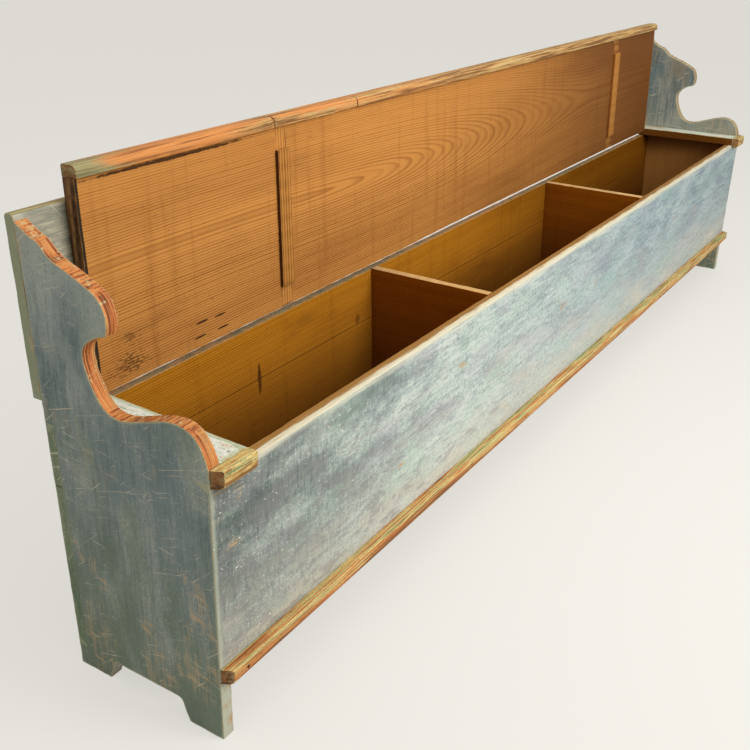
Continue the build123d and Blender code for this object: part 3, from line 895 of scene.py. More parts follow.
@dataclass
class WornBoard:
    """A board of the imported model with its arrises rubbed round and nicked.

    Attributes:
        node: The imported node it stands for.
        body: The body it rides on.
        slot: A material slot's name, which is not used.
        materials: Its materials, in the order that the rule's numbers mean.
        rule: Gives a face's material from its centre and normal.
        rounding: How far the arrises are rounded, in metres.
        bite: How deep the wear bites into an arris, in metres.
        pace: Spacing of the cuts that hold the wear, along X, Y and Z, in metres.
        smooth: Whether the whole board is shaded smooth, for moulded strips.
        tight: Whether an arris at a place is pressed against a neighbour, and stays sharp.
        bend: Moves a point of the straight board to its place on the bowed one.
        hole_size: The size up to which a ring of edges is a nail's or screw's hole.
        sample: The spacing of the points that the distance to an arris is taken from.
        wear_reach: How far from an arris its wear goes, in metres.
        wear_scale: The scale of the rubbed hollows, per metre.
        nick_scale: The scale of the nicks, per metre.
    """

    node: str
    body: str
    slot: str
    materials: Sequence[bpy.types.Material]
    rule: Rule
    rounding: float = 0.0016
    bite: float = 0.0008
    pace: Three = (0.014, 0.014, 0.014)
    smooth: bool = False
    tight: Callable[[Vector], bool] = lambda place: False
    bend: Callable[[Vector], Vector] = lambda place: place
    hole_size: float = 0.008
    sample: float = 0.004
    wear_reach: float = 0.007
    wear_scale: float = 38.0
    nick_scale: float = 17.0

    def sharp_edges(self, bm: bmesh.types.BMesh) -> list[bmesh.types.BMEdge]:
        """Find the board's outer arrises, leaving out inner corners and nail holes.

        Args:
            bm: The board's merged mesh.

        Returns:
            The arrises' edges.
        """
        outer = (edge for edge in bm.edges if edge.is_manifold and edge.is_convex)
        sharp = {edge for edge in outer if edge.calc_face_angle(0.0) > ARRIS_ANGLE}
        found: list[bmesh.types.BMEdge] = []
        while sharp:
            chain = [sharp.pop()]
            for edge in chain:
                for vert in edge.verts:
                    for other in vert.link_edges:
                        if other in sharp:
                            sharp.discard(other)
                            chain.append(other)
            points = [vert.co for edge in chain for vert in edge.verts]
            spans = [max(p[axis] for p in points) - min(p[axis] for p in points) for axis in range(3)]
            if max(spans) > self.hole_size:
                found.extend(chain)
        return [edge for edge in found if not self.tight((edge.verts[0].co + edge.verts[1].co) / 2)]

    def tree_of(self, edges: Sequence[bmesh.types.BMEdge]) -> kdtree.KDTree:
        """Sample points along the arrises for quick distances.

        Args:
            edges: The arrises.

        Returns:
            A balanced tree of the sampled points.
        """
        points: list[Vector] = []
        for edge in edges:
            first, last = (vert.co for vert in edge.verts)
            count = max(1, round((last - first).length / self.sample))
            points += [first.lerp(last, index / count) for index in range(count + 1)]
        tree = kdtree.KDTree(len(points))
        for index, point in enumerate(points):
            tree.insert(point, index)
        tree.balance()
        return tree

    def cut(self, bm: bmesh.types.BMesh) -> None:
        """Cut the board across on evenly spaced planes, so that its faces can hold wear.

        Args:
            bm: The board's mesh.
        """
        for axis, pace in enumerate(self.pace):
            if pace <= 0:
                continue
            places = [vert.co[axis] for vert in bm.verts]
            low, high = min(places), max(places)
            count = int((high - low) / pace)
            normal = Vector([float(index == axis) for index in range(3)])
            for index in range(1, count):
                at = normal * (low + (high - low) * index / count)
                geometry = [*bm.verts, *bm.edges, *bm.faces]
                bmesh.ops.bisect_plane(bm, geom=geometry, dist=MERGE_DISTANCE, plane_co=at, plane_no=normal)

    def wear(self, bm: bmesh.types.BMesh, tree: kdtree.KDTree) -> None:
        """Keep each point's distance to the arrises, and nick the points near them.

        Args:
            bm: The board's mesh.
            tree: The arrises' points.
        """
        layer = bm.verts.layers.float.new("arris")
        bm.normal_update()
        moves: list[tuple[bmesh.types.BMVert, Vector]] = []
        for vert in bm.verts:
            distance = tree.find(vert.co)[2]
            vert[layer] = distance
            near = max(0.0, 1.0 - distance / self.wear_reach)
            rough = noise.fractal(vert.co * self.wear_scale, 0.6, 2.0, 4) + 0.35
            nick = max(0.0, noise.noise(vert.co * self.nick_scale) - 0.3) * 3.2
            depth = self.bite * near * (max(0.0, rough) + nick)
            moves.append((vert, vert.normal * -min(depth, 3.0 * self.bite)))
        for vert, move in moves:
            vert.co = self.bend(vert.co) + move

    def build(self) -> bpy.types.Object:
        """Build the worn board, dress it, and put it in its node's place.

        Returns:
            The new object.
        """
        bm = bmesh.new()
        bm.from_mesh(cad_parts[self.node].data)
        bmesh.ops.remove_doubles(bm, verts=bm.verts, dist=MERGE_DISTANCE)
        bmesh.ops.dissolve_limit(bm, angle_limit=FLAT_ANGLE, verts=bm.verts, edges=bm.edges)
        marks = bm.faces.layers.int.new("soft")
        edges = self.sharp_edges(bm)
        tree = self.tree_of(edges)
        rounded = bmesh.ops.bevel(
            bm, geom=edges, offset=self.rounding, offset_type="OFFSET", segments=3, profile=0.5,
            affect="EDGES", clamp_overlap=True, material=-1,
        )
        for face in rounded["faces"]:
            face[marks] = 1
        self.cut(bm)
        for face in bm.faces:
            face.material_index = self.rule(face.calc_center_median(), face.normal)
            face.smooth = self.smooth or bool(face[marks])
        self.wear(bm, tree)
        bm.faces.layers.int.remove(marks)
        mesh = bpy.data.meshes.new(f"{self.node}_worn")
        bm.to_mesh(mesh)
        bm.free()
        for material in self.materials:
            mesh.materials.append(material)
        if self.smooth:
            mesh.set_sharp_from_angle(angle=MOULDED_ANGLE)
        made = bpy.data.objects.new(f"{self.node}_worn", mesh)
        bpy.context.scene.collection.objects.link(made)
        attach(made, self.body)
        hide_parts(self.node)
        LOG.info("%s: %d faces", made.name, len(mesh.polygons))
        return made


# ---------------------------------------------------------------- finishes


class Finishes:
    """All the materials of the bench, made once and shared."""

    BROWN: Colour = (0.17, 0.075, 0.022)
    RUST: Colour = (0.40, 0.125, 0.035)
    ORANGE: Colour = (0.50, 0.20, 0.055)
    GOLD: Colour = (0.46, 0.27, 0.085)
    CREAM: Colour = (0.58, 0.43, 0.175)
    LIME: Colour = (0.36, 0.35, 0.14)
    MOSS: Colour = (0.20, 0.24, 0.09)
    END_TONES = ((0.125, 0.165, 0.165), (0.205, 0.248, 0.235), (0.300, 0.330, 0.295))
    FRONT_TONES = ((0.240, 0.272, 0.275), (0.350, 0.415, 0.385), (0.500, 0.540, 0.480))
    # Four short strokes by the near batten, two rough patches, and the shade under the nosing.
    LID_MARKS = (
        Spot((-1.046, 0.5170), (0.0165, 0.0020), 0.95),
        Spot((-0.999, 0.5150), (0.0165, 0.0020), 0.95),
        Spot((-0.993, 0.4905), (0.0165, 0.0020), 0.95),
        Spot((-1.053, 0.4915), (0.0165, 0.0020), 0.9),
        Spot((-1.220, 0.5010), (0.040, 0.020), 0.65, 6.0),
        Spot((-1.212, 0.5450), (0.024, 0.012), 0.5, 7.0),
        Spot((-1.085, 0.8086), (0.210, 0.0036), 0.9, 1.5),
    )
    # Two stains on the back, and the joint between its boards.
    CHEST_MARKS = (
        Spot((-0.893, 0.348), (0.006, 0.038), 0.8, 1.2),
        Spot((-0.55, 0.36), (0.01, 0.012), 0.5, 1.2),
        Spot((0.0, 0.3475), (9.0, 0.0014), 0.5, 0.6),
    )

    def __init__(self) -> None:
        """Build the shared groups and every material."""
        groups = {"grain": pine_grain_group(), "wear": paint_wear_group()}
        specs = (*self.painted(), *self.rubbed(), *self.pines(), IronFinish("old iron"))
        self.made = {spec.name: spec.make(groups) for spec in specs}

    def painted(self) -> tuple[PaintFinish, ...]:
        """Return the painted faces' finishes."""
        outside = PaintFinish(
            "end board outside", Grain.UPRIGHT_END, self.END_TONES, (0.36, 0.36, 0.23),
            cream=(0.52, 0.48, 0.36), bare=(0.52, 0.37, 0.21),
            tints=((0.135, 0.185, 0.20), (0.185, 0.235, 0.155)), tint_share=0.45,
            weights=(0.62, 0.25, 0.3, 0.2), border_reach=0.004, border_share=0.75, wear=0.35, reach=0.001,
            scratches=0.85, grit=0.32, scrapes=0.6, flakes=0.35, low=(0.145, 0.185, 0.125), low_top=0.42,
            low_scuffs=0.5, high=(0.48, 0.70, 0.6),
        )
        front = PaintFinish(
            "front paint", Grain.LENGTHWISE_UPRIGHT, self.FRONT_TONES, (0.42, 0.44, 0.33),
            cream=(0.64, 0.63, 0.55), bare=(0.50, 0.31, 0.14),
            tints=((0.28, 0.265, 0.295), (0.34, 0.47, 0.37), (0.52, 0.53, 0.50)), tint_share=0.42,
            weights=(0.6, 0.25, 0.4, 0.55), spread=0.11, combed=(-0.7, -1.25), border_reach=0.009,
            border_share=0.5, wear=0.08, reach=0.0012, scratches=0.06, flecks=0.4, strewn=0.25, grit=0.4,
            low=(0.60, 0.56, 0.45), low_top=0.34, low_spread=0.5, chips=(0.2, -1.38),
            # Painted shade darkens the front towards its near end, and darkens and warms it towards its far
            # end.
            painted_shades=((-0.62, -1.5, (0.31, 0.335, 0.315)), (-0.7, 0.5, (0.67, 0.745, 0.835))),
            top_band=(0.446, 0.466), band=(0.60, 0.56, 0.45),
        )
        seat = PaintFinish(
            "seat paint", Grain.LENGTHWISE_FLAT,
            ((0.32, 0.35, 0.20), (0.55, 0.55, 0.41), (0.72, 0.70, 0.58)), (0.33, 0.38, 0.2),
            cream=(0.76, 0.72, 0.58), bare=(0.52, 0.27, 0.1), border_reach=0.008,
            weights=(0.5, 0.9, 0.6, 0.0), shift=(0.0, 0.35, 0.0), grit=0.5,
        )
        return (
            outside,
            replace(outside, name="end board nails", covered=True, wear=0.0),
            replace(
                outside, name="end board inside", shift=(0.7, 0.3, 0.0), low=(0.60, 0.54, 0.34),
                low_top=0.68, low_base=0.3,
                tones=((0.085, 0.125, 0.125), (0.17, 0.205, 0.195), (0.29, 0.30, 0.255)),
                tints=((0.095, 0.16, 0.175), (0.27, 0.21, 0.13)), tint_share=0.6,
                weights=(0.9, 0.5, 0.2, 0.2), border=(0.40, 0.38, 0.24), high=None, wear=0.45,
                stained=(0.09, 0.459), stain=(0.33, 0.14, 0.028),
            ),
            replace(
                outside, name="board ends",
                tones=((0.10, 0.14, 0.085), (0.15, 0.195, 0.115), (0.21, 0.24, 0.15)), tints=(),
                shift=(1.7, 0.9, 0.0), low=None, low_scuffs=0.0, border=(0.30, 0.32, 0.2),
            ),
            front,
            replace(
                front, name="front nails", covered=True,
                tones=tuple(shade(tone, 0.8) for tone in front.tones),
            ),
            replace(
                front, name="foot front", grain=Grain.UPRIGHT_END, painted_shades=(), chips=None, top_band=None,
                tones=((0.19, 0.22, 0.19), (0.29, 0.32, 0.27), (0.42, 0.43, 0.35)),
                border=(0.27, 0.31, 0.21),
            ),
            seat,
            replace(
                seat, name="seat end paint", grain=Grain.CROSSWISE_FLAT,
                tones=((0.29, 0.35, 0.19), (0.62, 0.63, 0.54), (0.78, 0.80, 0.78)),
                wear=0.5, weights=(0.4, 1.0, 0.8, 0.0), spread=0.14, grit=0.6,
            ),
            PaintFinish(
                "back paint", Grain.LENGTHWISE_UPRIGHT,
                ((0.195, 0.195, 0.155), (0.30, 0.28, 0.205), (0.43, 0.38, 0.265)), (0.4, 0.4, 0.3),
                wear=0.3, shift=(1.3, 0.2, 0.0),
            ),
            PaintFinish(
                "ledge paint", Grain.LENGTHWISE_FLAT,
                ((0.090, 0.068, 0.030), (0.175, 0.140, 0.062), (0.28, 0.225, 0.110)), (0.30, 0.21, 0.085),
                cream=(0.42, 0.34, 0.20), border_reach=0.003, border_share=0.6, wear=0.25,
                shift=(0.3, 0.6, 0.0), grit=0.5,
            ),
        )

    def rubbed(self) -> tuple[StripFinish, ...]:
        """Return the finishes of the sawn edges and the moulded strips."""
        strip = (
            (0.28, self.BROWN), (0.37, self.RUST), (0.44, self.ORANGE), (0.50, self.GOLD),
            (0.58, self.CREAM), (0.66, self.LIME), (0.76, self.MOSS),
        )
        lid_strip = (
            (0.29, self.BROWN), (0.41, (0.40, 0.22, 0.075)), (0.50, self.GOLD),
            (0.60, (0.50, 0.38, 0.18)), (0.68, self.LIME), (0.76, self.MOSS),
        )
        seat_strip = (
            (0.30, self.BROWN), (0.42, (0.32, 0.175, 0.050)), (0.52, (0.50, 0.33, 0.105)),
            (0.64, (0.60, 0.45, 0.18)), (0.76, self.MOSS),
        )
        sawn = (
            (0.28, (0.15, 0.045, 0.014)), (0.41, (0.38, 0.115, 0.030)),
            (0.54, (0.53, 0.190, 0.050)), (0.74, (0.60, 0.31, 0.100)),
        )
        far_sawn = (
            (0.3, (0.16, 0.09, 0.045)), (0.45, (0.33, 0.21, 0.10)),
            (0.58, (0.42, 0.36, 0.20)), (0.7, (0.28, 0.32, 0.2)),
        )
        strip_end = (
            (0.32, (0.09, 0.045, 0.018)), (0.5, (0.26, 0.105, 0.03)),
            (0.62, (0.22, 0.13, 0.05)), (0.72, (0.2, 0.19, 0.09)),
        )
        lid_end = (
            (0.38, (0.030, 0.012, 0.004)), (0.50, (0.085, 0.034, 0.010)),
            (0.60, (0.25, 0.12, 0.040)), (0.74, (0.30, 0.17, 0.07)),
        )
        moulding = StripFinish(
            "moulding", Grain.LENGTHWISE_UPRIGHT,
            tuple((place, shade(colour, 1.03)) for place, colour in strip), tilt=(0.122, 0.144, 0.15),
            drift=0.15, edge=(0.46, 0.36, 0.16), edge_reach=0.0007, specks=0.8, lines=0.7,
        )
        nosing = StripFinish(
            "nosing", Grain.LENGTHWISE_UPRIGHT, lid_strip, shift=(0.7, 0.3, 0.2), drift=0.14,
            tilt=(0.80, 0.765, 0.12), edge=(0.42, 0.34, 0.16), edge_reach=0.0006, specks=0.7,
            warm=(0.2, -0.9, 0.85), tipped=(-1.19, -1.27, (0.30, 0.29, 0.14)),
        )
        block = StripFinish(
            "block", Grain.LENGTHWISE_UPRIGHT, seat_strip, shift=(3.1, 0.9, 0.2),
            stretch=(14.0, 170.0, 170.0), tilt=(0.462, 0.482, 0.2), edge=(0.52, 0.42, 0.2), specks=0.75,
            lines=0.75, edge_reach=0.0014,
        )
        return (
            StripFinish(
                "sawn edge", Grain.UPRIGHT_END, sawn, stretch=(5.0, 5.0, 230.0),
                crossed=(16.0, 200.0, 25.0), drift=0.06, contrast=1.9, edge=(0.50, 0.46, 0.24),
                edge_reach=0.0012, line=(0.17, 0.05, 0.016), specks=0.4,
            ),
            StripFinish(
                "far sawn edge", Grain.UPRIGHT_END, far_sawn, stretch=(5.0, 5.0, 210.0),
                crossed=(16.0, 200.0, 25.0), edge=(0.46, 0.42, 0.27), edge_reach=0.0012,
            ),
            moulding,
            replace(moulding, name="moulding nails", rusty_nail=-1.2, covered=True),
            nosing,
            replace(nosing, name="nosing nails", covered=True),
            block,
            replace(block, name="block nails", covered=True),
            StripFinish(
                "strip end", Grain.CROSSWISE_UPRIGHT, strip_end, stretch=(60.0, 90.0, 60.0),
                edge=(0.42, 0.29, 0.13), edge_reach=0.001,
            ),
            StripFinish(
                "lid end", Grain.UPRIGHT_END, lid_end, stretch=(3.0, 95.0, 90.0), shift=(0.4, 0.2, 0.0),
                edge=(0.14, 0.065, 0.022), edge_reach=0.0008,
            ),
        )

    def pines(self) -> tuple[PineFinish, ...]:
        """Return the bare pine finishes."""
        lid = PineFinish(
            "lid pine", Grain.LENGTHWISE_UPRIGHT, pale=(0.50, 0.214, 0.048), deep=(0.205, 0.066, 0.011),
            lines=0.85, fading=(0.56, 0.68, 0.4), pith=(0.668, 0.012, 0.12), arch=(-0.75, 0.75),
            ring_width=0.0047, wander=0.03, knots=0.25, end_strip=(-1.2812, -1.2822),
            # Painted shade darkens the lid towards its far end.
            painted_shade=(-0.6, 1.3, 0.88), spots=self.LID_MARKS,
        )
        chest = PineFinish(
            "chest pine", Grain.LENGTHWISE_UPRIGHT, pale=(0.43, 0.168, 0.012), deep=(0.175, 0.053, 0.002),
            # Painted shade darkens the chest's pine towards the far end.
            painted_shade=(-0.3, 0.9, 0.7), pith=(0.9, 0.03, 0.05), knots=0.3, grime=0.4,
            # Painted shade darkens it towards the bottom of the chest.
            low_shade=(0.50, 0.12), edge_share=0.0, gloss=0.0,
            spots=self.CHEST_MARKS,
        )
        batten = PineFinish(
            "batten pine", Grain.UPRIGHT_BAR, pale=(0.42, 0.18, 0.036), deep=(0.10, 0.032, 0.005),
            pith=(3.0, 0.02, 0.02), knots=0.0, lines=1.0, ring_width=0.0075, edge_share=0.3, grime=0.1,
            clouds=0.0,
        )
        # The raised bars' side faces: darker copies of the batten pine, darkened as painted shade.
        shaded_flank = replace(
            batten, name="batten side shade", pale=(0.080, 0.028, 0.008), deep=(0.035, 0.011, 0.004),
            edge_share=0.0,
        )
        return (
            lid,
            replace(
                batten, name="batten root", pale=(0.52, 0.225, 0.052), deep=(0.26, 0.095, 0.018),
                lines=0.8, edge_share=0.0,
            ),
            chest,
            # A darker copy of the chest pine, darkened as painted shade, for every face of the seat ends but
            # their tops and fronts.
            replace(
                chest, name="shaded chest ends", grain=Grain.CROSSWISE_UPRIGHT, pale=(0.30, 0.115, 0.022),
                deep=(0.13, 0.040, 0.004), shift=(0.9, 0.4, 0.0),
            ),
            # The floor pine keeps the chest pine's painted shade, towards the far end and low in the chest.
            replace(
                chest, name="floor pine", grain=Grain.LENGTHWISE_FLAT, pith=(2.3, 0.1, 0.1), grime=0.6,
                covered=True,
            ),
            PineFinish(
                "divider pine", Grain.CROSSWISE_UPRIGHT, pale=(0.28, 0.083, 0.004),
                # Painted shade darkens the dividers towards the bottom of the chest.
                deep=(0.15, 0.038, 0.002), pith=(1.2, 0.2, 0.2), low_shade=(0.52, 0.12), knots=0.5, gloss=0.0,
            ),
            PineFinish(
                "divider top", Grain.CROSSWISE_FLAT, pale=(0.60, 0.39, 0.165), deep=(0.32, 0.17, 0.06),
                pith=(1.0, 0.1, 0.1), ring_width=0.004, knots=0.0,
            ),
            PineFinish(
                "board top", Grain.LENGTHWISE_FLAT, pale=(0.33, 0.17, 0.045), deep=(0.13, 0.055, 0.012),
                pith=(1.0, 0.1, 0.1), ring_width=0.0035, knots=0.0, lines=0.8, washed=(-0.1555, -0.163),
                wash=(0.62, 0.58, 0.42), edge_share=0.25,
            ),
            batten,
            shaded_flank,
            replace(shaded_flank, name="far batten side shade", pale=(0.32, 0.115, 0.022), deep=(0.16, 0.05, 0.010)),
            PineFinish(
                "back pine", Grain.LENGTHWISE_UPRIGHT, pale=(0.27, 0.18, 0.105), deep=(0.13, 0.08, 0.045),
                shift=(5.0, 0.5, 0.0), pith=(0.5, 0.03, 0.1), grime=0.6,
            ),
            PineFinish(
                "end grain", Grain.CROSSWISE_UPRIGHT, pale=(0.30, 0.16, 0.065), deep=(0.13, 0.055, 0.02),
                pith=(1.0, 0.1, 0.1), ring_width=0.003, knots=0.0,
            ),
        )

    def __getitem__(self, name: str) -> bpy.types.Material:
        """Return a material by its name."""
        return self.made[name]

    def several(self, *names: str) -> list[bpy.types.Material]:
        """Return materials by their names, in order."""
        return [self.made[name] for name in names]


def by_side(default: int = 0, **sides: int) -> Rule:
    """Make a rule that gives a material by the side that a face looks to.

    Args:
        default: The material of the sides that aren't named.
        **sides: A material number by the side's name in small letters.

    Returns:
        The rule.
    """

    def rule(centre: Vector, normal: Vector) -> int:
        """Return the material of the side that the face looks to."""
        return sides.get(Side.of(normal).name.lower(), default)

    return rule


# ---------------------------------------------------------------- sub-assemblies


@cache
def frame_front() -> float:
    """Return the depth of the front board's face."""
    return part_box("front_board")[0].y


def rear_edge(height: float) -> float:
    """Return the depth of the end boards' leaning rear edge at a height."""
    return REAR_FOOT + height * math.tan(BACK_LEAN)


@dataclass
class EndBoards:
    """The two scrolled end boards."""

    finishes: Finishes
    arm_height: float = 0.47
    back_height: float = 0.75
    foot_height: float = 0.112
    rear_start: float = 0.1
    notch_depth: float = 0.026
    notch_heights: Pair = (0.111, 0.461)
    back_notch_heights: Pair = (0.039, 0.458)
    back_notch_depth: float = 0.021

    def rule(self, outer: Side) -> Rule:
        """Make the rule for one end board.

        Args:
            outer: The side of its outer face.

        Returns:
            The rule: 0 outside, 1 inside, 2 sawn edge, 3 foot front, 4 rear edge.
        """

        def rule(centre: Vector, normal: Vector) -> int:
            """Return the material of a face by its side and place."""
            side = Side.of(normal)
            if side in (Side.LEFT, Side.RIGHT):
                return int(side is not outer and centre.z > self.foot_height)
            if side is Side.BACK and centre.y > self.rear_start and centre.z < self.back_height:
                return 4
            if centre.z > self.arm_height:
                return 2
            return 3 if side is Side.FRONT else 0

        return rule

    def tight(self, place: Vector) -> bool:
        """Tell whether an arris lies in a notch, against the board that fills it."""
        front = frame_front()
        low, high = self.notch_heights
        if front + SLACK < place.y < front + self.notch_depth and low < place.z < high:
            return True
        rear = rear_edge(place.z)
        low, high = self.back_notch_heights
        return rear - self.back_notch_depth < place.y < rear - SLACK and low < place.z < high

    def build(self) -> None:
        """Build both boards."""
        for name, outer, sawn in (("left", Side.LEFT, "sawn edge"), ("right", Side.RIGHT, "far sawn edge")):
            names = ("end board outside", "end board inside", sawn, "foot front", "board ends")
            WornBoard(
                f"end_board_{name}", "chest", "blue_paint", self.finishes.several(*names),
                self.rule(outer), rounding=0.0026, bite=0.0009, pace=(0.0, 0.007, 0.007),
                tight=self.tight,
            ).build()


@dataclass
class Chest:
    """The front, back, dividers, seat ends and strips of the chest."""

    finishes: Finishes
    end_grip: float = 0.0005
    joint_grip: float = 0.004

    def at_end(self, place: Vector) -> bool:
        """Tell whether a place is on an end board's outer face."""
        return abs(place.x) > HALF_LENGTH - self.end_grip

    def front_tight(self, place: Vector) -> bool:
        """Tell whether an arris of the front board is held in the end boards' notches."""
        return self.at_end(place) and place.y > frame_front() + SLACK

    def back_tight(self, place: Vector) -> bool:
        """Tell whether an arris of a lower back board is held in the end boards' notches."""
        rear = rear_edge(place.z)
        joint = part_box("back_lower_board")[1].z
        return abs(place.z - joint) < self.joint_grip or (self.at_end(place) and place.y < rear - SLACK)

    def build_front(self) -> None:
        """Build the front board and the base moulding."""
        f = self.finishes
        WornBoard(
            "front_board", "chest", "blue_paint",
            f.several("front paint", "chest pine", "board top", "end board outside"),
            by_side(0, back=1, up=2, down=1, left=3, right=3),
            rounding=0.002, pace=(0.012, 0.0, 0.014), tight=self.front_tight,
        ).build()
        WornBoard(
            "base_moulding", "chest", "worn_edge_paint", f.several("moulding", "strip end"),
            by_side(0, left=1, right=1), rounding=0.0012, pace=(0.010, 0.0, 0.0), smooth=True,
        ).build()

    def build_back(self) -> None:
        """Build the three back boards."""
        f = self.finishes
        for name, top in (("back_lower_board", 0), ("back_middle_board", 2)):
            WornBoard(
                name, "chest", "blue_paint",
                f.several("chest pine", "back pine", "ledge paint", "board ends"),
                by_side(0, back=1, down=0, up=top, left=3, right=3), pace=(0.016, 0.0, 0.016),
                tight=self.back_tight,
            ).build()
        WornBoard(
            "back_upper_board", "chest", "blue_paint",
            f.several("back paint", "back pine", "nosing", "board ends"),
            by_side(0, back=1, down=1, up=2, left=3, right=3), pace=(0.016, 0.0, 0.016),
        ).build()

    def build_inside(self) -> None:
        """Build the dividers, and dress the floor boards and bearers."""
        f = self.finishes
        for name in ("divider_left", "divider_right"):
            WornBoard(
                name, "chest", "bare_pine", f.several("divider pine", "divider top"),
                by_side(0, up=1), pace=(0.0, 0.014, 0.014),
            ).build()
        for name in ("floor_board_front", "floor_board_rear", "floor_bearer_front", "floor_bearer_rear"):
            dress(name, f["floor pine"])

    def build_seat_ends(self) -> None:
        """Build the fixed seat ends and their nosing blocks."""
        f = self.finishes
        for name in ("left", "right"):
            WornBoard(
                f"seat_end_{name}", "chest", "blue_paint", f.several("seat end paint", "shaded chest ends"),
                by_side(1, up=0, front=0), pace=(0.011, 0.011, 0.0),
            ).build()
            WornBoard(
                f"seat_end_nosing_{name}", "chest", "worn_edge_paint", f.several("block", "strip end"),
                by_side(0, left=1, right=1), rounding=0.002, bite=0.0014, pace=(0.006, 0.006, 0.006),
                smooth=True,
            ).build()

    def build(self) -> None:
        """Build the whole chest."""
        self.build_front()
        self.build_back()
        self.build_inside()
        self.build_seat_ends()


@dataclass
class Lid:
    """The lid with its battens and nosings."""

    finishes: Finishes
    flush: Pair = (0.0395, 0.0405)
    tail_height: float = 0.4765
    tail_growth: float = 0.0036
    tail_start: float = -0.10
    tail_run: float = 0.35

    def batten_rule(self) -> Rule:
        """Make the battens' rule: 1 at their flush ends, 2 on the raised bar's sides, which take painted
        shade, and 0 on its face.
        """
        low, high = (corner.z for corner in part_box("lid_board"))

        def rule(centre: Vector, normal: Vector) -> int:
            """Return the material of a face by its height and side."""
            if not low + self.flush[0] < centre.z < high - self.flush[1]:
                return 1
            return 2 if Side.of(normal) in (Side.LEFT, Side.RIGHT) else 0

        return rule

    def lower_tail(self, place: Vector) -> Vector:
        """Bow the lid's rear edge down at its left half, as the old board has moved.

        Args:
            place: A point of the straight board.

        Returns:
            The point's place on the bowed board.
        """
        if place.z > self.tail_height:
            return place
        share = min(1.0, max(0.0, (self.tail_start - place.x) / self.tail_run))
        return place - Vector((0.0, 0.0, self.tail_growth * share * share * (3.0 - 2.0 * share)))

    def build(self) -> None:
        """Build the lid's pieces."""
        f = self.finishes
        WornBoard(
            "lid_board", "lid", "bare_pine", f.several("lid pine", "seat paint", "lid end", "end grain"),
            by_side(0, back=1, down=1, left=2, right=3), pace=(0.014, 0.0, 0.014), bend=self.lower_tail,
        ).build()
        sides = (("left", "batten root", "batten side shade"), ("right", "lid pine", "far batten side shade"))
        # The third finish of each batten is the painted shade of its bar's sides.
        for name, root, shaded_flank in sides:
            WornBoard(
                f"lid_batten_{name}", "lid", "bare_pine", f.several("batten pine", root, shaded_flank),
                self.batten_rule(), pace=(0.0, 0.0, 0.0035), rounding=0.0012, bend=self.lower_tail,
            ).build()
        for name in ("left", "middle", "right"):
            WornBoard(
                f"lid_nosing_{name}", "lid", "worn_edge_paint", f.several("nosing", "strip end"),
                by_side(0, left=1, right=1), rounding=0.0012, pace=(0.010, 0.0, 0.0), smooth=True,
            ).build()


def dress(node: str, material: bpy.types.Material) -> None:
    """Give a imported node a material.

    Args:
        node: The node's name.
        material: The material for its every slot.
    """
    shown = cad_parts[node]
    if not shown.material_slots:
        shown.data.materials.append(material)
    for slot in shown.material_slots:
        slot.material = material
    LOG.info("%s: %s", node, material.name)


def dress_ironwork(finishes: Finishes) -> None:
    """Dress the hinges, the screws, and the nails, which are painted over with their boards.

    Args:
        finishes: The bench's materials.
    """
    painted = {
        "front_board_nails": "front nails",
        "divider_nails": "front nails",
        "seat_end_nails": "end board nails",
        "moulding_nails": "moulding nails",
        "nosing_block_nails": "block nails",
        "lid_nosing_nails": "nosing nails",
    }
    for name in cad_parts:
        if name.startswith("hinge_") or name.endswith("_nails"):
            dress(name, finishes[painted.get(name, "old iron")])


# ---------------------------------------------------------------- the room


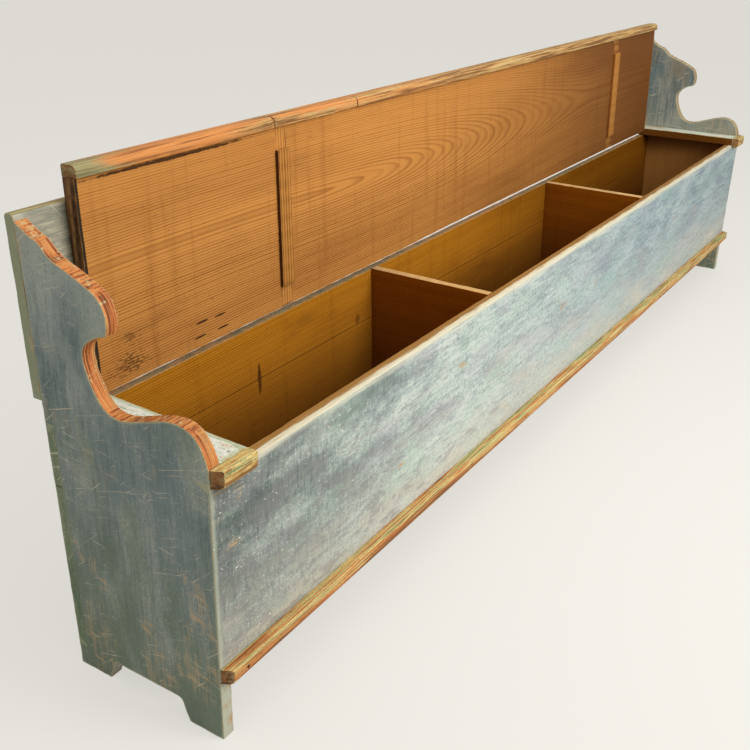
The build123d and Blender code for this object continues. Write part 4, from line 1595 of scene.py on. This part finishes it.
@dataclass
class Room:
    """A plain pale floor, soft lamps, and the camera."""

    floor_colour: Colour = (0.70, 0.68, 0.63)
    wall_colour: Colour = (0.86, 0.84, 0.79)
    light_colour: Colour = (1.0, 0.985, 0.96)
    light: float = 0.55
    floor_glow: float = 0.7
    floor_size: float = 30.0
    focal_px: float = 988.0
    place: Three = (-2.23087, -0.9597, 1.16674)
    yaw: float = 0.9918
    pitch: float = -0.4375
    roll: float = 0.0147
    centre_px: Pair = (356.0, 373.3)

    @staticmethod
    def show(g: Graph, lit: bpy.types.Node, seen: bpy.types.Node, share: float, kind: str) -> None:
        """Light the room with one shader, and show the camera a share of another.

        Args:
            g: The tree's graph.
            lit: The shader that lights.
            seen: The shader for the camera's rays, also where a piece mirrors them or lets them through.
            share: How much of the second shader the camera sees.
            kind: The kind of the tree's output node.
        """
        rays = g.node("LightPath").outputs
        path = g.math("MAXIMUM", rays["Is Camera Ray"], rays["Is Glossy Ray"])
        path = g.math("MAXIMUM", path, rays["Is Transmission Ray"])
        mixed = g.node("MixShader")
        for index, value in enumerate((g.times(path, share), lit.outputs[0], seen.outputs[0])):
            g.feed(mixed.inputs[index], value)
        g.feed(g.node(kind).inputs[0], mixed.outputs[0])

    def build_floor(self) -> None:
        """Lay the floor."""
        bm = bmesh.new()
        bmesh.ops.create_grid(bm, x_segments=1, y_segments=1, size=self.floor_size)
        mesh = bpy.data.meshes.new("floor")
        bm.to_mesh(mesh)
        bm.free()
        floor = bpy.data.objects.new("floor", mesh)
        bpy.context.scene.collection.objects.link(floor)
        material = bpy.data.materials.new("floor")
        material.use_nodes = True
        g = Graph(material.node_tree)
        shader, glow = g.node("BsdfDiffuse"), g.node("Emission")
        g.feed(shader.inputs["Color"], self.floor_colour)
        g.feed(glow.inputs[0], self.wall_colour)
        self.show(g, shader, glow, self.floor_glow, "OutputMaterial")
        mesh.materials.append(material)

    def build_world(self) -> None:
        """Light the room evenly, and show the wall's colour to the camera."""
        world = bpy.data.worlds.new("room")
        bpy.context.scene.world = world
        world.use_nodes = True
        g = Graph(world.node_tree)
        lit, seen = g.node("Background"), g.node("Background")
        for shader, look in ((lit, (self.light_colour, self.light)), (seen, (self.wall_colour, 1.0))):
            for socket, value in zip(shader.inputs, look):
                g.feed(socket, value)
        self.show(g, lit, seen, 1.0, "OutputWorld")

    def add_lamp(self, name: str, place: Vector, aim: Vector, size: float, watts: float) -> None:
        """Add a square soft lamp.

        Args:
            name: The lamp's name.
            place: Where it hangs.
            aim: The point it is turned to.
            size: Its side, in metres.
            watts: Its power.
        """
        data = bpy.data.lights.new(name, "AREA")
        data.shape = "SQUARE"
        data.size = size
        data.energy = watts
        lamp = bpy.data.objects.new(name, data)
        lamp.location = place
        lamp.rotation_euler = (aim - place).to_track_quat("-Z", "Y").to_euler()
        bpy.context.scene.collection.objects.link(lamp)

    def build_lamps(self) -> None:
        """Hang the lamps."""
        self.add_lamp("front lamp", Vector((-0.3, -2.4, 2.1)), Vector((0.0, 0.0, 0.35)), size=1.6, watts=74.0)
        self.add_lamp("top lamp", Vector((-0.6, -0.9, 3.4)), Vector((0.0, 0.0, 0.4)), size=3.2, watts=45.0)

    def build_camera(self) -> None:
        """Set the camera."""
        data = bpy.data.cameras.new("camera")
        data.sensor_width = SENSOR_MM
        data.lens = self.focal_px / FRAME_WIDTH_PX * SENSOR_MM
        data.shift_x = (FRAME_WIDTH_PX / 2 - self.centre_px[0]) / FRAME_WIDTH_PX
        data.shift_y = (self.centre_px[1] - FRAME_WIDTH_PX / 2) / FRAME_WIDTH_PX
        flat = math.cos(self.pitch)
        ahead = Vector((flat * math.sin(self.yaw), flat * math.cos(self.yaw), math.sin(self.pitch)))
        right = ahead.cross(Vector((0, 0, 1))).normalized()
        up = right.cross(ahead)
        level = Matrix((right, up, -ahead)).transposed()
        turned = level @ Matrix.Rotation(self.roll, 3, "Z")
        camera = bpy.data.objects.new("camera", data)
        camera.matrix_world = Matrix.Translation(self.place) @ turned.to_4x4()
        bpy.context.scene.collection.objects.link(camera)
        bpy.context.scene.camera = camera

    def build(self) -> None:
        """Build the floor, light and camera."""
        self.build_floor()
        self.build_world()
        self.build_lamps()
        self.build_camera()
        bpy.context.scene.view_settings.view_transform = "Standard"


def main() -> None:
    """Build the bench and its room."""
    logging.basicConfig(level=logging.INFO, format="%(message)s")
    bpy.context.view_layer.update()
    Room().build()
    finishes = Finishes()
    EndBoards(finishes).build()
    Chest(finishes).build()
    Lid(finishes).build()
    dress_ironwork(finishes)


if __name__ == "__main__":
    main()
